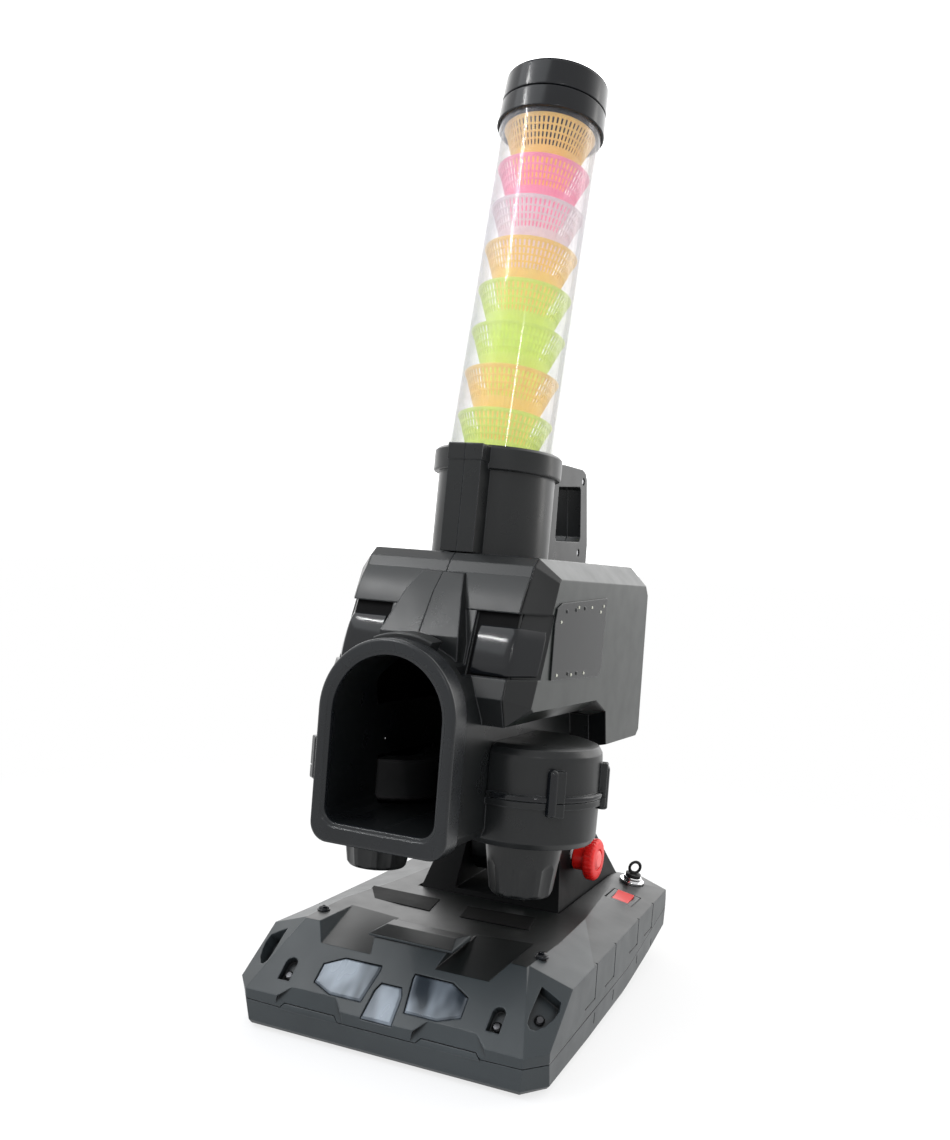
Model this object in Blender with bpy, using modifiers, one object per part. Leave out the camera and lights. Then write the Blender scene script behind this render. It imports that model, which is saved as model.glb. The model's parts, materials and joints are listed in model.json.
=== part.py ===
# Batting practice shuttle machine: a tilting two-wheel launcher head on a desk-top base,
# fed by a clear tube that holds a column of nested plastic shuttles.
# World frame: +X is the machine's left as seen from behind its muzzle, -Y is the muzzle side, +Z is up.
# All lengths below are in millimetres and are turned into metres where meshes are made.

import math

import bpy
import bmesh
from mathutils import Matrix, Vector

MM = 0.001
GAP = 0.3
WALL = 2.5

# Overall placing
FOOT_SHOW = 3.0
ORIGIN_SHIFT_Y = -15.15
PIVOT_Y = 78.0
PIVOT_Z = 88.0
HEAD_TILT = math.radians(3.0)
COLLAR_LEAN = math.radians(2.5)
TUBE_LEAN = math.radians(10.98)

# Shuttle, tube and cap
SHUTTLE_RIM_R = 34.4
SHUTTLE_CORK_R = 13.0
SHUTTLE_LENGTH = 85.0
SHUTTLE_CORK_LENGTH = 25.0
SHUTTLE_SKIN = 1.6
SHUTTLE_PITCH = 32.7
SHUTTLE_COUNT = 9
SHUTTLE_STEPS = 14
SHUTTLE_PLAY = 2.2
TUBE_IN_R = SHUTTLE_RIM_R + SHUTTLE_PLAY
TUBE_OUT_R = TUBE_IN_R + 2.4
TUBE_TOP = 254.5
TUBE_BOTTOM = -51.9
CAP_RIM = 214.0
CAP_HEIGHT = 43.0
CAP_OUT_R = TUBE_OUT_R + 2.3
CAP_TAPER = 0.9
TOP_RIM = CAP_RIM - 1.5
LOWEST_TIP = TOP_RIM - SHUTTLE_PITCH * (SHUTTLE_COUNT - 1) - SHUTTLE_LENGTH

# Head shell and the collar on it
CORE_HALF = 61.0
TOP_Z = 227.0
HOOD_Z = 118.0
NECK_HALF = 27.0
SHAFT_R = 5.0
BEZEL_Y = -232.0
BEZEL_DEPTH = 16.0
MOUTH_HALF = 39.0
MOUTH_LOW = 50.5
MOUTH_HIGH = 160.0
BEZEL_RIM = 8.8
BEZEL_FOOT = 12.5
BARREL_RIM = 6.6
BARREL_FOOT = 9.5
COVER_FACE = 75.0
RIM_R = 46.4
RIM_BAND = 17.0
COLLAR_R = 42.3
COLLAR_TALL = 74.3
COLLAR_SINK = 1.7
RIM_Y = -87.7
RIM_Z = TOP_Z + COLLAR_TALL
BORE_R = SHUTTLE_RIM_R + 1.2
SEAT_R = TUBE_OUT_R + 2.5
RIB_FRONT = 58.5
RIB_HALF = 13.0

# Where the tube's own frame starts, from the middle of the collar's rim
TUBE_RISE = 40.07
TUBE_SETBACK = 9.33
TUBE_Y = RIM_Y + TUBE_SETBACK
TUBE_Z = RIM_Z + TUBE_RISE

# Launch wheels and their pods
POD_X = 56.0
POD_Y = -122.8
POD_R = 49.0
FLANGE_R = 50.9
FLANGE_LOW = 65.8
FLANGE_SPLIT = 70.1
FLANGE_HIGH = 74.2
POD_LOW = 38.7
POD_TOP = 105.0
WHEEL_R = 44.0
WHEEL_LOW = 54.0
WHEEL_HIGH = 82.0
ROOM_R = WHEEL_R + 1.9
HUB_R = 29.7
MOTOR_R = 18.0
MOTOR_SHAFT_R = 2.5
MOTOR_FLANGE_R = 22.0
MOTOR_FLANGE_THICK = 2.7
MOTOR_CAP_TOP_R = 27.2
MOTOR_CAP_LOW_R = 21.8

# Base
DECK_Z = 63.5
TOWER_HALF_LOW = 58.0
TOWER_HALF_HIGH = 46.0
TOWER_LOW = 52.0
TOWER_HIGH = 104.0
SLOT_HALF = NECK_HALF + 2.0
SLOT_FLOOR = 60.0
KNOB_R = 16.0
KNURLS = 14


for old in list(bpy.data.objects):
    bpy.data.objects.remove(old, do_unlink=True)


def collection(name):
    made = bpy.data.collections.new(name)
    bpy.context.scene.collection.children.link(made)
    return made


PARTS = collection("batting_practice_shuttle_machine")
CUTTERS = collection("cutters")


def material(name, colour, roughness, metallic=0.0, alpha=1.0):
    mat = bpy.data.materials.new(name)
    mat.use_nodes = True
    shader = mat.node_tree.nodes["Principled BSDF"]
    shader.inputs["Base Color"].default_value = (colour[0], colour[1], colour[2], 1.0)
    shader.inputs["Roughness"].default_value = roughness
    shader.inputs["Metallic"].default_value = metallic
    shader.inputs["Alpha"].default_value = alpha
    return mat


LOOKS = {
    "black": ((0.020, 0.021, 0.023), 0.45, 0.0, 1.0),
    "grey": ((0.075, 0.082, 0.090), 0.42, 0.0, 1.0),
    "gloss": ((0.012, 0.013, 0.015), 0.12, 0.0, 1.0),
    "clear": ((0.93, 0.95, 0.96), 0.05, 0.0, 0.3),
    "lens": ((0.80, 0.84, 0.88), 0.08, 0.0, 0.5),
    "red": ((0.62, 0.015, 0.025), 0.30, 0.0, 1.0),
    "pink": ((0.75, 0.25, 0.26), 0.40, 0.0, 1.0),
    "steel": ((0.60, 0.60, 0.60), 0.30, 1.0, 1.0),
    "chrome": ((0.80, 0.80, 0.82), 0.10, 1.0, 1.0),
    "rubber": ((0.025, 0.025, 0.025), 0.80, 0.0, 1.0),
    "board": ((0.020, 0.120, 0.060), 0.50, 0.0, 1.0),
    "cell": ((0.060, 0.100, 0.300), 0.45, 0.0, 1.0),
    "orange": ((0.95, 0.42, 0.08), 0.45, 0.0, 1.0),
    "amber": ((0.98, 0.62, 0.10), 0.45, 0.0, 1.0),
    "rose": ((0.93, 0.45, 0.55), 0.45, 0.0, 1.0),
    "blush": ((0.95, 0.72, 0.74), 0.45, 0.0, 1.0),
    "lime": ((0.68, 0.85, 0.18), 0.45, 0.0, 1.0),
    "cork": ((0.85, 0.83, 0.78), 0.60, 0.0, 1.0),
}


def empty(name, location, lean, parent=None):
    made = bpy.data.objects.new(name, None)
    PARTS.objects.link(made)
    made.parent = parent
    made.location = Vector(location) * MM
    made.rotation_euler = (-lean, 0.0, 0.0)
    return made


BASE = empty("base_frame", (0.0, ORIGIN_SHIFT_Y, FOOT_SHOW), 0.0)
HEAD = empty("head_frame", (0.0, PIVOT_Y, PIVOT_Z), HEAD_TILT, BASE)
TUBE = empty("tube_frame", (0.0, TUBE_Y, TUBE_Z), TUBE_LEAN, HEAD)


# Solid makers: each returns a temporary object in the cutters collection, in millimetres

def temporary(name, mesh):
    made = bpy.data.objects.new(name, mesh)
    CUTTERS.objects.link(made)
    made.hide_render = True
    made.display_type = "WIRE"
    return made


def evaluated_mesh(ob):
    bpy.context.view_layer.update()
    graph = bpy.context.evaluated_depsgraph_get()
    return bpy.data.meshes.new_from_object(ob.evaluated_get(graph), depsgraph=graph)


def tidy(mesh, distance=0.0001):
    bm = bmesh.new()
    bm.from_mesh(mesh)
    bmesh.ops.remove_doubles(bm, verts=bm.verts, dist=distance)
    bmesh.ops.dissolve_degenerate(bm, edges=bm.edges, dist=distance)
    bmesh.ops.triangulate(bm, faces=[f for f in bm.faces if len(f.verts) > 3])
    bmesh.ops.recalc_face_normals(bm, faces=bm.faces)
    bm.to_mesh(mesh)
    bm.free()


def block(x0, x1, y0, y1, z0, z1, edge=0.0):
    mesh = bpy.data.meshes.new("block")
    bm = bmesh.new()
    bmesh.ops.create_cube(bm, size=1.0)
    bmesh.ops.scale(bm, vec=(x1 - x0, y1 - y0, z1 - z0), verts=bm.verts)
    centre = ((x0 + x1) / 2, (y0 + y1) / 2, (z0 + z1) / 2)
    bmesh.ops.translate(bm, vec=centre, verts=bm.verts)
    if edge > 0.0:
        bmesh.ops.bevel(bm, geom=bm.edges[:], offset=edge, segments=2, affect="EDGES", profile=0.5)
    bm.to_mesh(mesh)
    bm.free()
    return temporary("block", mesh)


AXIS_TURN = {
    "X": Matrix(((0, 0, 1), (1, 0, 0), (0, 1, 0))).to_4x4(),
    "Y": Matrix(((1, 0, 0), (0, 0, -1), (0, 1, 0))).to_4x4(),
    "Z": Matrix.Identity(4),
}


def slab(outline, axis, start, end):
    """Flat outline drawn as a filled curve and extruded from start to end along an axis.

    The outline is (y, z) for axis X, (x, z) for axis Y and (x, y) for axis Z.
    """
    curve = bpy.data.curves.new("outline", "CURVE")
    curve.dimensions = "2D"
    curve.fill_mode = "BOTH"
    curve.extrude = (end - start) / 2
    spline = curve.splines.new("POLY")
    spline.points.add(len(outline) - 1)
    for point, (u, v) in zip(spline.points, outline):
        point.co = (u, v, 0.0, 1.0)
    spline.use_cyclic_u = True
    drawn = bpy.data.objects.new("outline", curve)
    CUTTERS.objects.link(drawn)
    mesh = evaluated_mesh(drawn)
    bpy.data.objects.remove(drawn)
    tidy(mesh)
    middle = (start + end) / 2
    shift = {"X": (middle, 0, 0), "Y": (0, middle, 0), "Z": (0, 0, middle)}[axis]
    mesh.transform(Matrix.Translation(shift) @ AXIS_TURN[axis])
    return temporary("slab", mesh)


def turned(profile, steps=32, closed=False, axis="Z", centre=(0.0, 0.0, 0.0)):
    """Profile of (radius, height) from the top down its outer side, turned about an axis."""
    mesh = bpy.data.meshes.new("profile")
    verts = [(r, 0.0, z) for r, z in profile]
    edges = [(i, i + 1) for i in range(len(profile) - 1)]
    if closed:
        edges.append((len(profile) - 1, 0))
    mesh.from_pydata(verts, edges, [])
    drawn = temporary("profile", mesh)
    screw = drawn.modifiers.new("turn", "SCREW")
    screw.axis = "Z"
    screw.steps = steps
    screw.render_steps = steps
    screw.use_merge_vertices = True
    screw.merge_threshold = 0.0001
    made = evaluated_mesh(drawn)
    bpy.data.objects.remove(drawn)
    tidy(made)
    turn = {"Z": Matrix.Identity(4), "X": Matrix.Rotation(math.pi / 2, 4, "Y"),
            "Y": Matrix.Rotation(-math.pi / 2, 4, "X")}[axis]
    made.transform(Matrix.Translation(centre) @ turn)
    return temporary("turned", made)


def rod(radius, start, end, centre=(0.0, 0.0), axis="Z", steps=32):
    """Plain cylinder along an axis; centre is the other two coordinates in order."""
    mesh = bpy.data.meshes.new("rod")
    bm = bmesh.new()
    bmesh.ops.create_cone(bm, cap_ends=True, segments=steps, radius1=radius, radius2=radius,
                          depth=end - start)
    bmesh.ops.triangulate(bm, faces=[f for f in bm.faces if len(f.verts) > 4])
    bm.to_mesh(mesh)
    bm.free()
    middle = (start + end) / 2
    if axis == "Z":
        move = Matrix.Translation((centre[0], centre[1], middle))
    elif axis == "X":
        move = Matrix.Translation((middle, centre[0], centre[1])) @ Matrix.Rotation(math.pi / 2, 4, "Y")
    else:
        move = Matrix.Translation((centre[0], middle, centre[1])) @ Matrix.Rotation(math.pi / 2, 4, "X")
    mesh.transform(move)
    return temporary("rod", mesh)


def lofted(rings):
    """Skin through rings of equal point counts, for sections that differ along their length."""
    mesh = bpy.data.meshes.new("loft")
    count = len(rings[0])
    bm = bmesh.new()
    rows = [[bm.verts.new(point) for point in ring] for ring in rings]
    for low, high in zip(rows, rows[1:]):
        for i in range(count):
            j = (i + 1) % count
            bm.faces.new((low[i], low[j], high[j], high[i]))
    bm.faces.new(list(reversed(rows[0])))
    bm.faces.new(rows[-1])
    bm.to_mesh(mesh)
    bm.free()
    tidy(mesh)
    return temporary("loft", mesh)


def hull(points):
    mesh = bpy.data.meshes.new("hull")
    bm = bmesh.new()
    for point in points:
        bm.verts.new(point)
    result = bmesh.ops.convex_hull(bm, input=bm.verts)
    loose = [g for g in result["geom_interior"] if isinstance(g, bmesh.types.BMVert)]
    bmesh.ops.delete(bm, geom=loose, context="VERTS")
    bm.to_mesh(mesh)
    bm.free()
    tidy(mesh)
    return temporary("hull", mesh)


def boolean(base, tools, operation):
    for tool in tools:
        mod = base.modifiers.new("shape", "BOOLEAN")
        mod.operation = operation
        mod.solver = "EXACT"
        mod.object = tool
        mesh = evaluated_mesh(base)
        base.modifiers.clear()
        base.data = mesh
        bpy.data.objects.remove(tool)
    tidy(base.data)
    return base


def joined(base, *tools):
    return boolean(base, tools, "UNION")


def cut(base, *tools):
    return boolean(base, tools, "DIFFERENCE")


def shared(base, *tools):
    return boolean(base, tools, "INTERSECT")


def copy_of(ob):
    return temporary("copy", ob.data.copy())


def mirrored(ob):
    mesh = ob.data.copy()
    mesh.transform(Matrix.Scale(-1.0, 4, (1.0, 0.0, 0.0)))
    mesh.flip_normals()
    return temporary("mirrored", mesh)


def moved(ob, matrix):
    ob.data.transform(matrix)
    return ob


def flatten(mesh):
    """Merge the coplanar facets that joining and cutting leave behind."""
    bm = bmesh.new()
    bm.from_mesh(mesh)
    bmesh.ops.dissolve_limit(bm, angle_limit=math.radians(0.6), verts=bm.verts, edges=bm.edges)
    bmesh.ops.triangulate(bm, faces=[f for f in bm.faces if len(f.verts) > 3])
    bm.to_mesh(mesh)
    bm.free()


def place(name, solid, look, parent, origin=(0.0, 0.0, 0.0), soft=True):
    """Turn a temporary solid into a named part whose own origin is at the given point."""
    mesh = solid.data
    flatten(mesh)
    mesh.transform(Matrix.Translation(-Vector(origin)))
    mesh.transform(Matrix.Scale(MM, 4))
    mesh.name = name
    bpy.data.objects.remove(solid)
    part = bpy.data.objects.new(name, mesh)
    PARTS.objects.link(part)
    part.parent = parent
    part.location = Vector(origin) * MM
    mesh.materials.clear()
    colour, roughness, metallic, alpha = LOOKS[look]
    mesh.materials.append(material(name, colour, roughness, metallic, alpha))
    if soft:
        mesh.shade_smooth()
        mesh.set_sharp_from_angle(angle=math.radians(35.0))
    return part


def arch(half, low, high, corner, steps=10):
    """Doorway outline in (x, z): square foot with eased corners under a half round."""
    spring = high - half
    points = [(-half, low + corner), (-half + corner * 0.3, low + corner * 0.3), (-half + corner, low)]
    points += [(-x, z) for x, z in reversed(points)]
    for step in range(steps + 1):
        angle = math.pi * step / steps
        points.append((half * math.cos(angle), spring + half * math.sin(angle)))
    return points


def inset(points, distance):
    """Move every side of an anticlockwise outline inwards by a distance."""
    made = []
    count = len(points)
    for i in range(count):
        before = Vector(points[i - 1])
        here = Vector(points[i])
        after = Vector(points[(i + 1) % count])
        first = (here - before).normalized()
        second = (after - here).normalized()
        n1 = Vector((-first.y, first.x))
        n2 = Vector((-second.y, second.x))
        bisector = n1 + n2
        made.append(tuple(here + bisector * (distance / (1.0 + n1.dot(n2)))))
    return made


def at_x(outline, x):
    return [(x, y, z) for y, z in outline]


# Base: tray, cover, tower, lenses and the inside

# Rings of the base, one half each, from the front centre round to the rear centre
SEAM_HALF = [(0, -138.9, 18.0), (60, -138.6, 18.0), (100.2, -137.0, 18.0), (112.0, -122.4, 18.0),
             (110, -40, 19.0), (107.5, 51, 20.5), (106, 110, 29.0), (105, 157, 36.0),
             (78, 178, 38.0), (0, 180, 38.0)]
BULGE_HALF = [(0, -139.5, 25.5), (60, -139.2, 25.7), (100.6, -137.7, 24.6), (112.8, -124.5, 26.3),
              (110.2, -40, 27.0), (107.6, 51, 30.0), (106, 110, 38.0), (105, 157, 43.0),
              (78.5, 179, 45.0), (0, 181, 45.0)]
SHOULDER_HALF = [(0, -109.6, 50.6), (60, -109.3, 50.8), (88.9, -107.9, 51.0), (112.2, -86.7, 52.4),
                 (110.5, -40, 51.0), (107.8, 51, 50.0), (106.5, 110, 50.0), (105, 156, 50.0),
                 (78, 179, 50.0), (0, 182, 50.0)]
DECK_HALF = [(0, -94, DECK_Z), (60, -94, DECK_Z), (82.9, -94.2, 63.2), (83.6, -91.5, 63.3),
             (84.5, -40, 62.0), (79, 30, 57.5), (70, 110, 56.5), (65, 146, 56.0),
             (55, 158, 55.0), (0, 160, 55.0)]


def both_sides(half):
    """Full ring from its +X half, listed front centre to rear centre."""
    return half + [(-x, y, z) for x, y, z in reversed(half[1:-1])]


def eased(half, inward):
    """Pull a half ring in towards the middle of the base."""
    made = []
    for x, y, z in half:
        at_end = abs(y - 20.0) > 110 or x < 61
        pull = Vector((inward if x > 60 else 0.0, math.copysign(inward, y - 20.0) if at_end else 0.0))
        made.append((x - pull.x, y - pull.y, z))
    return made


def base_skin():
    return lofted([both_sides(half) for half in (SEAM_HALF, BULGE_HALF, SHOULDER_HALF, DECK_HALF)])


def base_hollow():
    """Room inside the cover: thin at the sides and deck, thicker behind the front slope and corners."""
    open_end = [(x, y, -30.0) for x, y, z in eased(SEAM_HALF, 3.0)]
    low = [(x, y, z - 2.0) for x, y, z in eased(SEAM_HALF, 3.0)]
    mid = [(x, y, z) for x, y, z in eased(BULGE_HALF, 3.2)]
    mid[:4] = [(0, -131.5, 20.5), (60, -131.2, 20.5), (93.0, -129.0, 20.0), (104.5, -113.0, 22.0)]
    high = [(x - 4.0 if x > 60 else x, y - 4.0 if y > 0 else y, 46.0) for x, y, z in SHOULDER_HALF]
    high[:4] = [(0, -98, 45.0), (60, -98, 45.0), (84.0, -97.0, 45.0), (93.0, -75.0, 45.0)]
    top = [(x - 6.0 if x > 50 else x, y - 8.0, z - 6.6) for x, y, z in DECK_HALF]
    top[:4] = [(0, -84, 52.0), (60, -84, 52.0), (74.0, -83.0, 52.0), (76.0, -76.0, 53.0)]
    return lofted([both_sides(half) for half in (open_end, low, mid, high, top)])


# Raised lengths of the front edge: the wall leans back there and the seam steps up with it
TAB_WALL = [(23.8, 14.0), (26.0, 25.0), (34.1, 31.2), (66.2, 31.2), (75.1, 25.0), (77.3, 14.0)]
TAB_SEAM = [(27.8, 17.0), (31.6, 20.8), (69.4, 20.8), (72.8, 17.0)]
TAB_LEAN = 0.47
SEAM_GAP = 0.5


def tab_cutter():
    """Wedge in front of the leaning wall, for the +X tab."""
    foot_y = SEAM_HALF[0][1] - TAB_LEAN * SEAM_HALF[0][2]
    points = []
    for x, z in TAB_WALL:
        points += [(x, foot_y + TAB_LEAN * z, z), (x, -150.0, z)]
    return hull(points)


def tab_notch():
    return slab(inset(list(reversed(TAB_SEAM)), -SEAM_GAP), "Y", -150.0, -130.0)


def deck_recess():
    """Wedge taken out of the deck behind the front slope, for the +X half."""
    low = [(23.3, -112.0, 52.4), (61.5, -112.0, 52.4), (71.0, -48.0, 62.8), (31.0, -48.0, 62.8)]
    high = [(28.5, -112.0, 68.0), (75.5, -112.0, 68.0), (73.0, -48.0, 68.0), (31.5, -48.0, 68.0)]
    return hull(low + high)


def lens_outline(points, grow):
    ordered = list(points)
    area = sum(a[0] * b[1] - b[0] * a[1] for a, b in zip(ordered, ordered[1:] + ordered[:1]))
    if area < 0:
        ordered.reverse()
    return inset(ordered, -grow)


SIDE_LENS = [(12.2, 33.5), (16.0, 9.8), (39.0, 9.6), (53.4, 15.3), (53.0, 29.0), (39.5, 36.3), (12.6, 36.6)]
CENTRE_LENS = [(-11.0, -0.5), (11.0, -0.5), (9.8, 19.5), (7.2, 25.2), (-7.2, 25.2), (-9.8, 19.5)]

# The front slope runs from the bulge edge to the deck edge; lenses are drawn on it as (x, up the slope)
SLOPE_FOOT = Vector((0.0, -139.4, 26.0))
SLOPE_UP = Vector((0.0, 45.4, 37.5)).normalized()
SLOPE_OUT = Vector((0.0, -37.5, 45.4)).normalized()


def on_slope(solid):
    """Carry a solid drawn in (x, up, out) onto the front slope."""
    turn = Matrix((Vector((1, 0, 0)), SLOPE_UP, SLOPE_OUT)).transposed().to_4x4()
    return moved(solid, Matrix.Translation(SLOPE_FOOT) @ turn)


LENS_GAP = 0.5
LENS_DEPTH = 2.2


def lens(points):
    return on_slope(slab(lens_outline(points, 0.0), "Z", -LENS_DEPTH, 0.6))


def lens_pocket(points):
    return on_slope(slab(lens_outline(points, LENS_GAP), "Z", -LENS_DEPTH - GAP, 8.0))


SCREW_HEAD_R = 3.4
WELL_DEPTH = 6.5
WELL_X = 76.2
WELL_HALF = 4.5
WELL_FOOT = 11.6
WELL_TOP = 28.6
POCKET_DEPTH = 8.5
POCKET = [(5.7, 24.0), (15.4, 12.0), (12.6, 6.4), (7.4, 1.8), (1.0, -2.0), (-6.2, -3.8), (-9.4, -2.4), (-10.2, 1.3),
          (-7.3, 6.6)]
POCKET_SCREW = (1.0, 5.5)

# The flat facet across each front corner, with x along its top edge and y up it
FACET_FOOT = sum((Vector(ring[index]) for ring, index in ((BULGE_HALF, 2), (BULGE_HALF, 3), (SHOULDER_HALF, 2),
                                                          (SHOULDER_HALF, 3))), Vector()) / 4
FACET_ALONG = (Vector(SHOULDER_HALF[3]) - Vector(SHOULDER_HALF[2])).normalized()
FACET_OUT = FACET_ALONG.cross(Vector(SHOULDER_HALF[2]) - Vector(BULGE_HALF[2])).normalized()
FACET_UP = FACET_OUT.cross(FACET_ALONG)


def on_facet(solid):
    turn = Matrix((FACET_ALONG, FACET_UP, FACET_OUT)).transposed().to_4x4()
    return moved(solid, Matrix.Translation(FACET_FOOT) @ turn)


def well_outline():
    spring = WELL_TOP - WELL_HALF
    points = [(WELL_X - WELL_HALF, WELL_FOOT), (WELL_X + WELL_HALF, WELL_FOOT)]
    for step in range(9):
        angle = math.pi * step / 8
        points.append((WELL_X + WELL_HALF * math.cos(angle), spring + WELL_HALF * math.sin(angle)))
    return points


def screw_solid(x, y, floor):
    head = turned([(0.0, 2.4), (2.2, 2.1), (SCREW_HEAD_R, 1.0), (SCREW_HEAD_R, 0.0), (1.6, 0.0),
                   (1.6, -6.0), (0.0, -6.0)], 10)
    return moved(head, Matrix.Translation((x, y, floor + GAP)))


WELL_SCREW = (WELL_X, WELL_FOOT + 6.0)


def well_cutters():
    """The arched well on the slope and the shield-shaped one on the corner facet, with their screw holes."""
    pocket = list(reversed(POCKET))
    return [on_slope(slab(well_outline(), "Z", -WELL_DEPTH, 12.0)),
            on_slope(rod(2.0, -WELL_DEPTH - 12.0, -WELL_DEPTH + 1.0, WELL_SCREW, "Z", 12)),
            on_facet(slab(pocket, "Z", -POCKET_DEPTH, 12.0)),
            on_facet(rod(2.0, -POCKET_DEPTH - 12.0, -POCKET_DEPTH + 1.0, POCKET_SCREW, "Z", 12))]


# Grooves down the sides: each drops from the shoulder, turns forward, and goes on as a short one in the tray
GROOVE_SPOTS = [-33.0, 12.0, 73.0, 115.0]
GROOVE_WIDE = 1.3
GROOVE_DEEP = 1.1
GROOVE_TURN = 26.5
GROOVE_RUN = 22.0


def side_x(y):
    """How far out the side stands at a place along it."""
    for (x0, y0, _), (x1, y1, _) in zip(BULGE_HALF[3:], BULGE_HALF[4:]):
        if y0 <= y <= y1:
            return x0 + (x1 - x0) * (y - y0) / (y1 - y0)
    return BULGE_HALF[3][0]


def cover_groove(y):
    rise = 4.0 if y > 50 else 0.0
    low = GROOVE_TURN + rise
    x = side_x(y) - GROOVE_DEEP
    upright = block(x, 120.0, y - GROOVE_WIDE / 2, y + GROOVE_WIDE / 2, low, 58.0)
    forward = block(side_x(y - GROOVE_RUN) - GROOVE_DEEP, 120.5, y - GROOVE_RUN, y + GROOVE_WIDE / 2 - 0.1,
                    low - 0.1, low + GROOVE_WIDE)
    return joined(upright, forward)


def tray_groove(y):
    rise = 4.0 if y > 50 else 0.0
    return block(side_x(y) - GROOVE_DEEP - 0.6, 120.0, y + 1.4, y + 1.4 + GROOVE_WIDE, 9.0 + rise * 1.5,
                 16.5 + rise * 1.2)


def slope_frame(x, y, z, lean):
    made = empty("side_slope", (x, y, z), 0.0, BASE)
    made.rotation_euler = (0.0, lean, 0.0)
    return made


SIDE_SLOPE = math.atan2(6.5, 36.2)
SWITCH_SPOT = (83.7, 105.0, 51.8)
SWITCH_HALF_X = 8.7
SWITCH_HALF_Y = 10.2
SOCKET_SPOT = (78.0, 147.0, 53.3)
SOCKET_R = 7.5


def side_cutter(spot, solid):
    matrix = Matrix.Translation(spot) @ Matrix.Rotation(SIDE_SLOPE, 4, "Y")
    return moved(solid, matrix)


def make_base_cover():
    cover = base_skin()
    cover = cut(cover, base_hollow())
    for tool in (tab_cutter(), tab_notch(), deck_recess()):
        cover = cut(cover, mirrored(tool), tool)
    cover = cut(cover, lens_pocket(SIDE_LENS), lens_pocket([(-x, s) for x, s in SIDE_LENS]),
                lens_pocket(CENTRE_LENS))
    seat = block(-TOWER_HALF_LOW - 0.6, TOWER_HALF_LOW + 0.6, 29.4, 176.6, TOWER_LOW - GAP, 70.0)
    cover = cut(cover, seat)
    for tool in well_cutters():
        cover = cut(cover, mirrored(tool), tool)
    for y in GROOVE_SPOTS:
        tool = cover_groove(y)
        cover = cut(cover, mirrored(tool), tool)
    ridge = hull([(s * x, y, z) for s in (1, -1) for x, y, z in
                  ((31.0, -97.0, 62.2), (31.0, -97.0, 63.7), (26.0, -80.5, 66.2), (26.0, -80.5, 61.0),
                   (29.5, -64.0, 63.6), (29.5, -60.0, 60.0))])
    cover = joined(cover, ridge)
    switch_hole = block(-SWITCH_HALF_X - GAP, SWITCH_HALF_X + GAP, -SWITCH_HALF_Y - GAP,
                        SWITCH_HALF_Y + GAP, -30.0, 8.0)
    switch_seat = block(-11.4, 11.4, -12.9, 12.9, 0.0, 8.0)
    cover = cut(cover, side_cutter(SWITCH_SPOT, switch_hole), side_cutter(SWITCH_SPOT, switch_seat),
                side_cutter(SOCKET_SPOT, rod(SOCKET_R + GAP, -30.0, 8.0, steps=24)),
                side_cutter(SOCKET_SPOT, rod(10.5, 0.0, 8.0, steps=24)))
    place("base_cover", cover, "black", BASE)


TRAY_LOW = [(0, -133.4, 0.0), (60, -133.2, 0.0), (97.6, -133.0, 0.0), (109.2, -117.0, 0.0),
            (107.6, -40, 0.0), (104, 51, 0.0), (102, 78, 0.0), (96, 84, 0.0), (60, 88, 0.0), (0, 90, 0.0)]
TRAY_FOOT = [(0, -135.4, 2.7), (60, -135.2, 2.7), (98.8, -134.8, 2.7), (111.5, -118.6, 2.7),
             (109.4, -40, 2.7), (107.0, 51, 6.0), (105.6, 110, 13.0), (104.4, 156.8, 21.0),
             (77.8, 177.8, 24.0), (0, 179.8, 24.0)]
TRAY_RIM = [(x, y, z - SEAM_GAP) for x, y, z in SEAM_HALF]
TRAY_WALL = 3.3
DOOR_HALF = 46.0
DOOR_FRONT = -30.0
DOOR_REAR = 44.0
DOOR_THICK = 2.4
FOOT_R = 7.0
FOOT_SPOTS = [(94.0, -112.0), (94.0, 66.0)]


def tray_tab():
    """Low step on the tray's front wall that follows the seam, for the +X tab."""
    front = SEAM_HALF[0][1] + 0.1
    return slab(list(reversed(TAB_SEAM)), "Y", front, front + TRAY_WALL - 0.5)


def make_base_tray():
    tray = lofted([both_sides(TRAY_LOW), both_sides(TRAY_FOOT), both_sides(TRAY_RIM)])
    floor = [(x, y, WALL) for x, y, z in eased(TRAY_LOW, 4.5)]
    foot = [(x, y, z + WALL) for x, y, z in eased(TRAY_FOOT, TRAY_WALL)]
    rim = eased(TRAY_RIM, TRAY_WALL)
    over = [(x, y, 60.0) for x, y, z in rim]
    tray = cut(tray, lofted([both_sides(half) for half in (floor, foot, rim, over)]))
    step = tray_tab()
    tray = joined(tray, mirrored(step), step)
    tool = tab_cutter()
    tray = cut(tray, mirrored(tool), tool)
    for y in GROOVE_SPOTS:
        tool = tray_groove(y)
        tray = cut(tray, mirrored(tool), tool)
    opening = block(-DOOR_HALF, DOOR_HALF, DOOR_FRONT, DOOR_REAR, -5.0, 10.0)
    tray = cut(tray, opening)
    place("base_tray", tray, "black", BASE)


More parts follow.
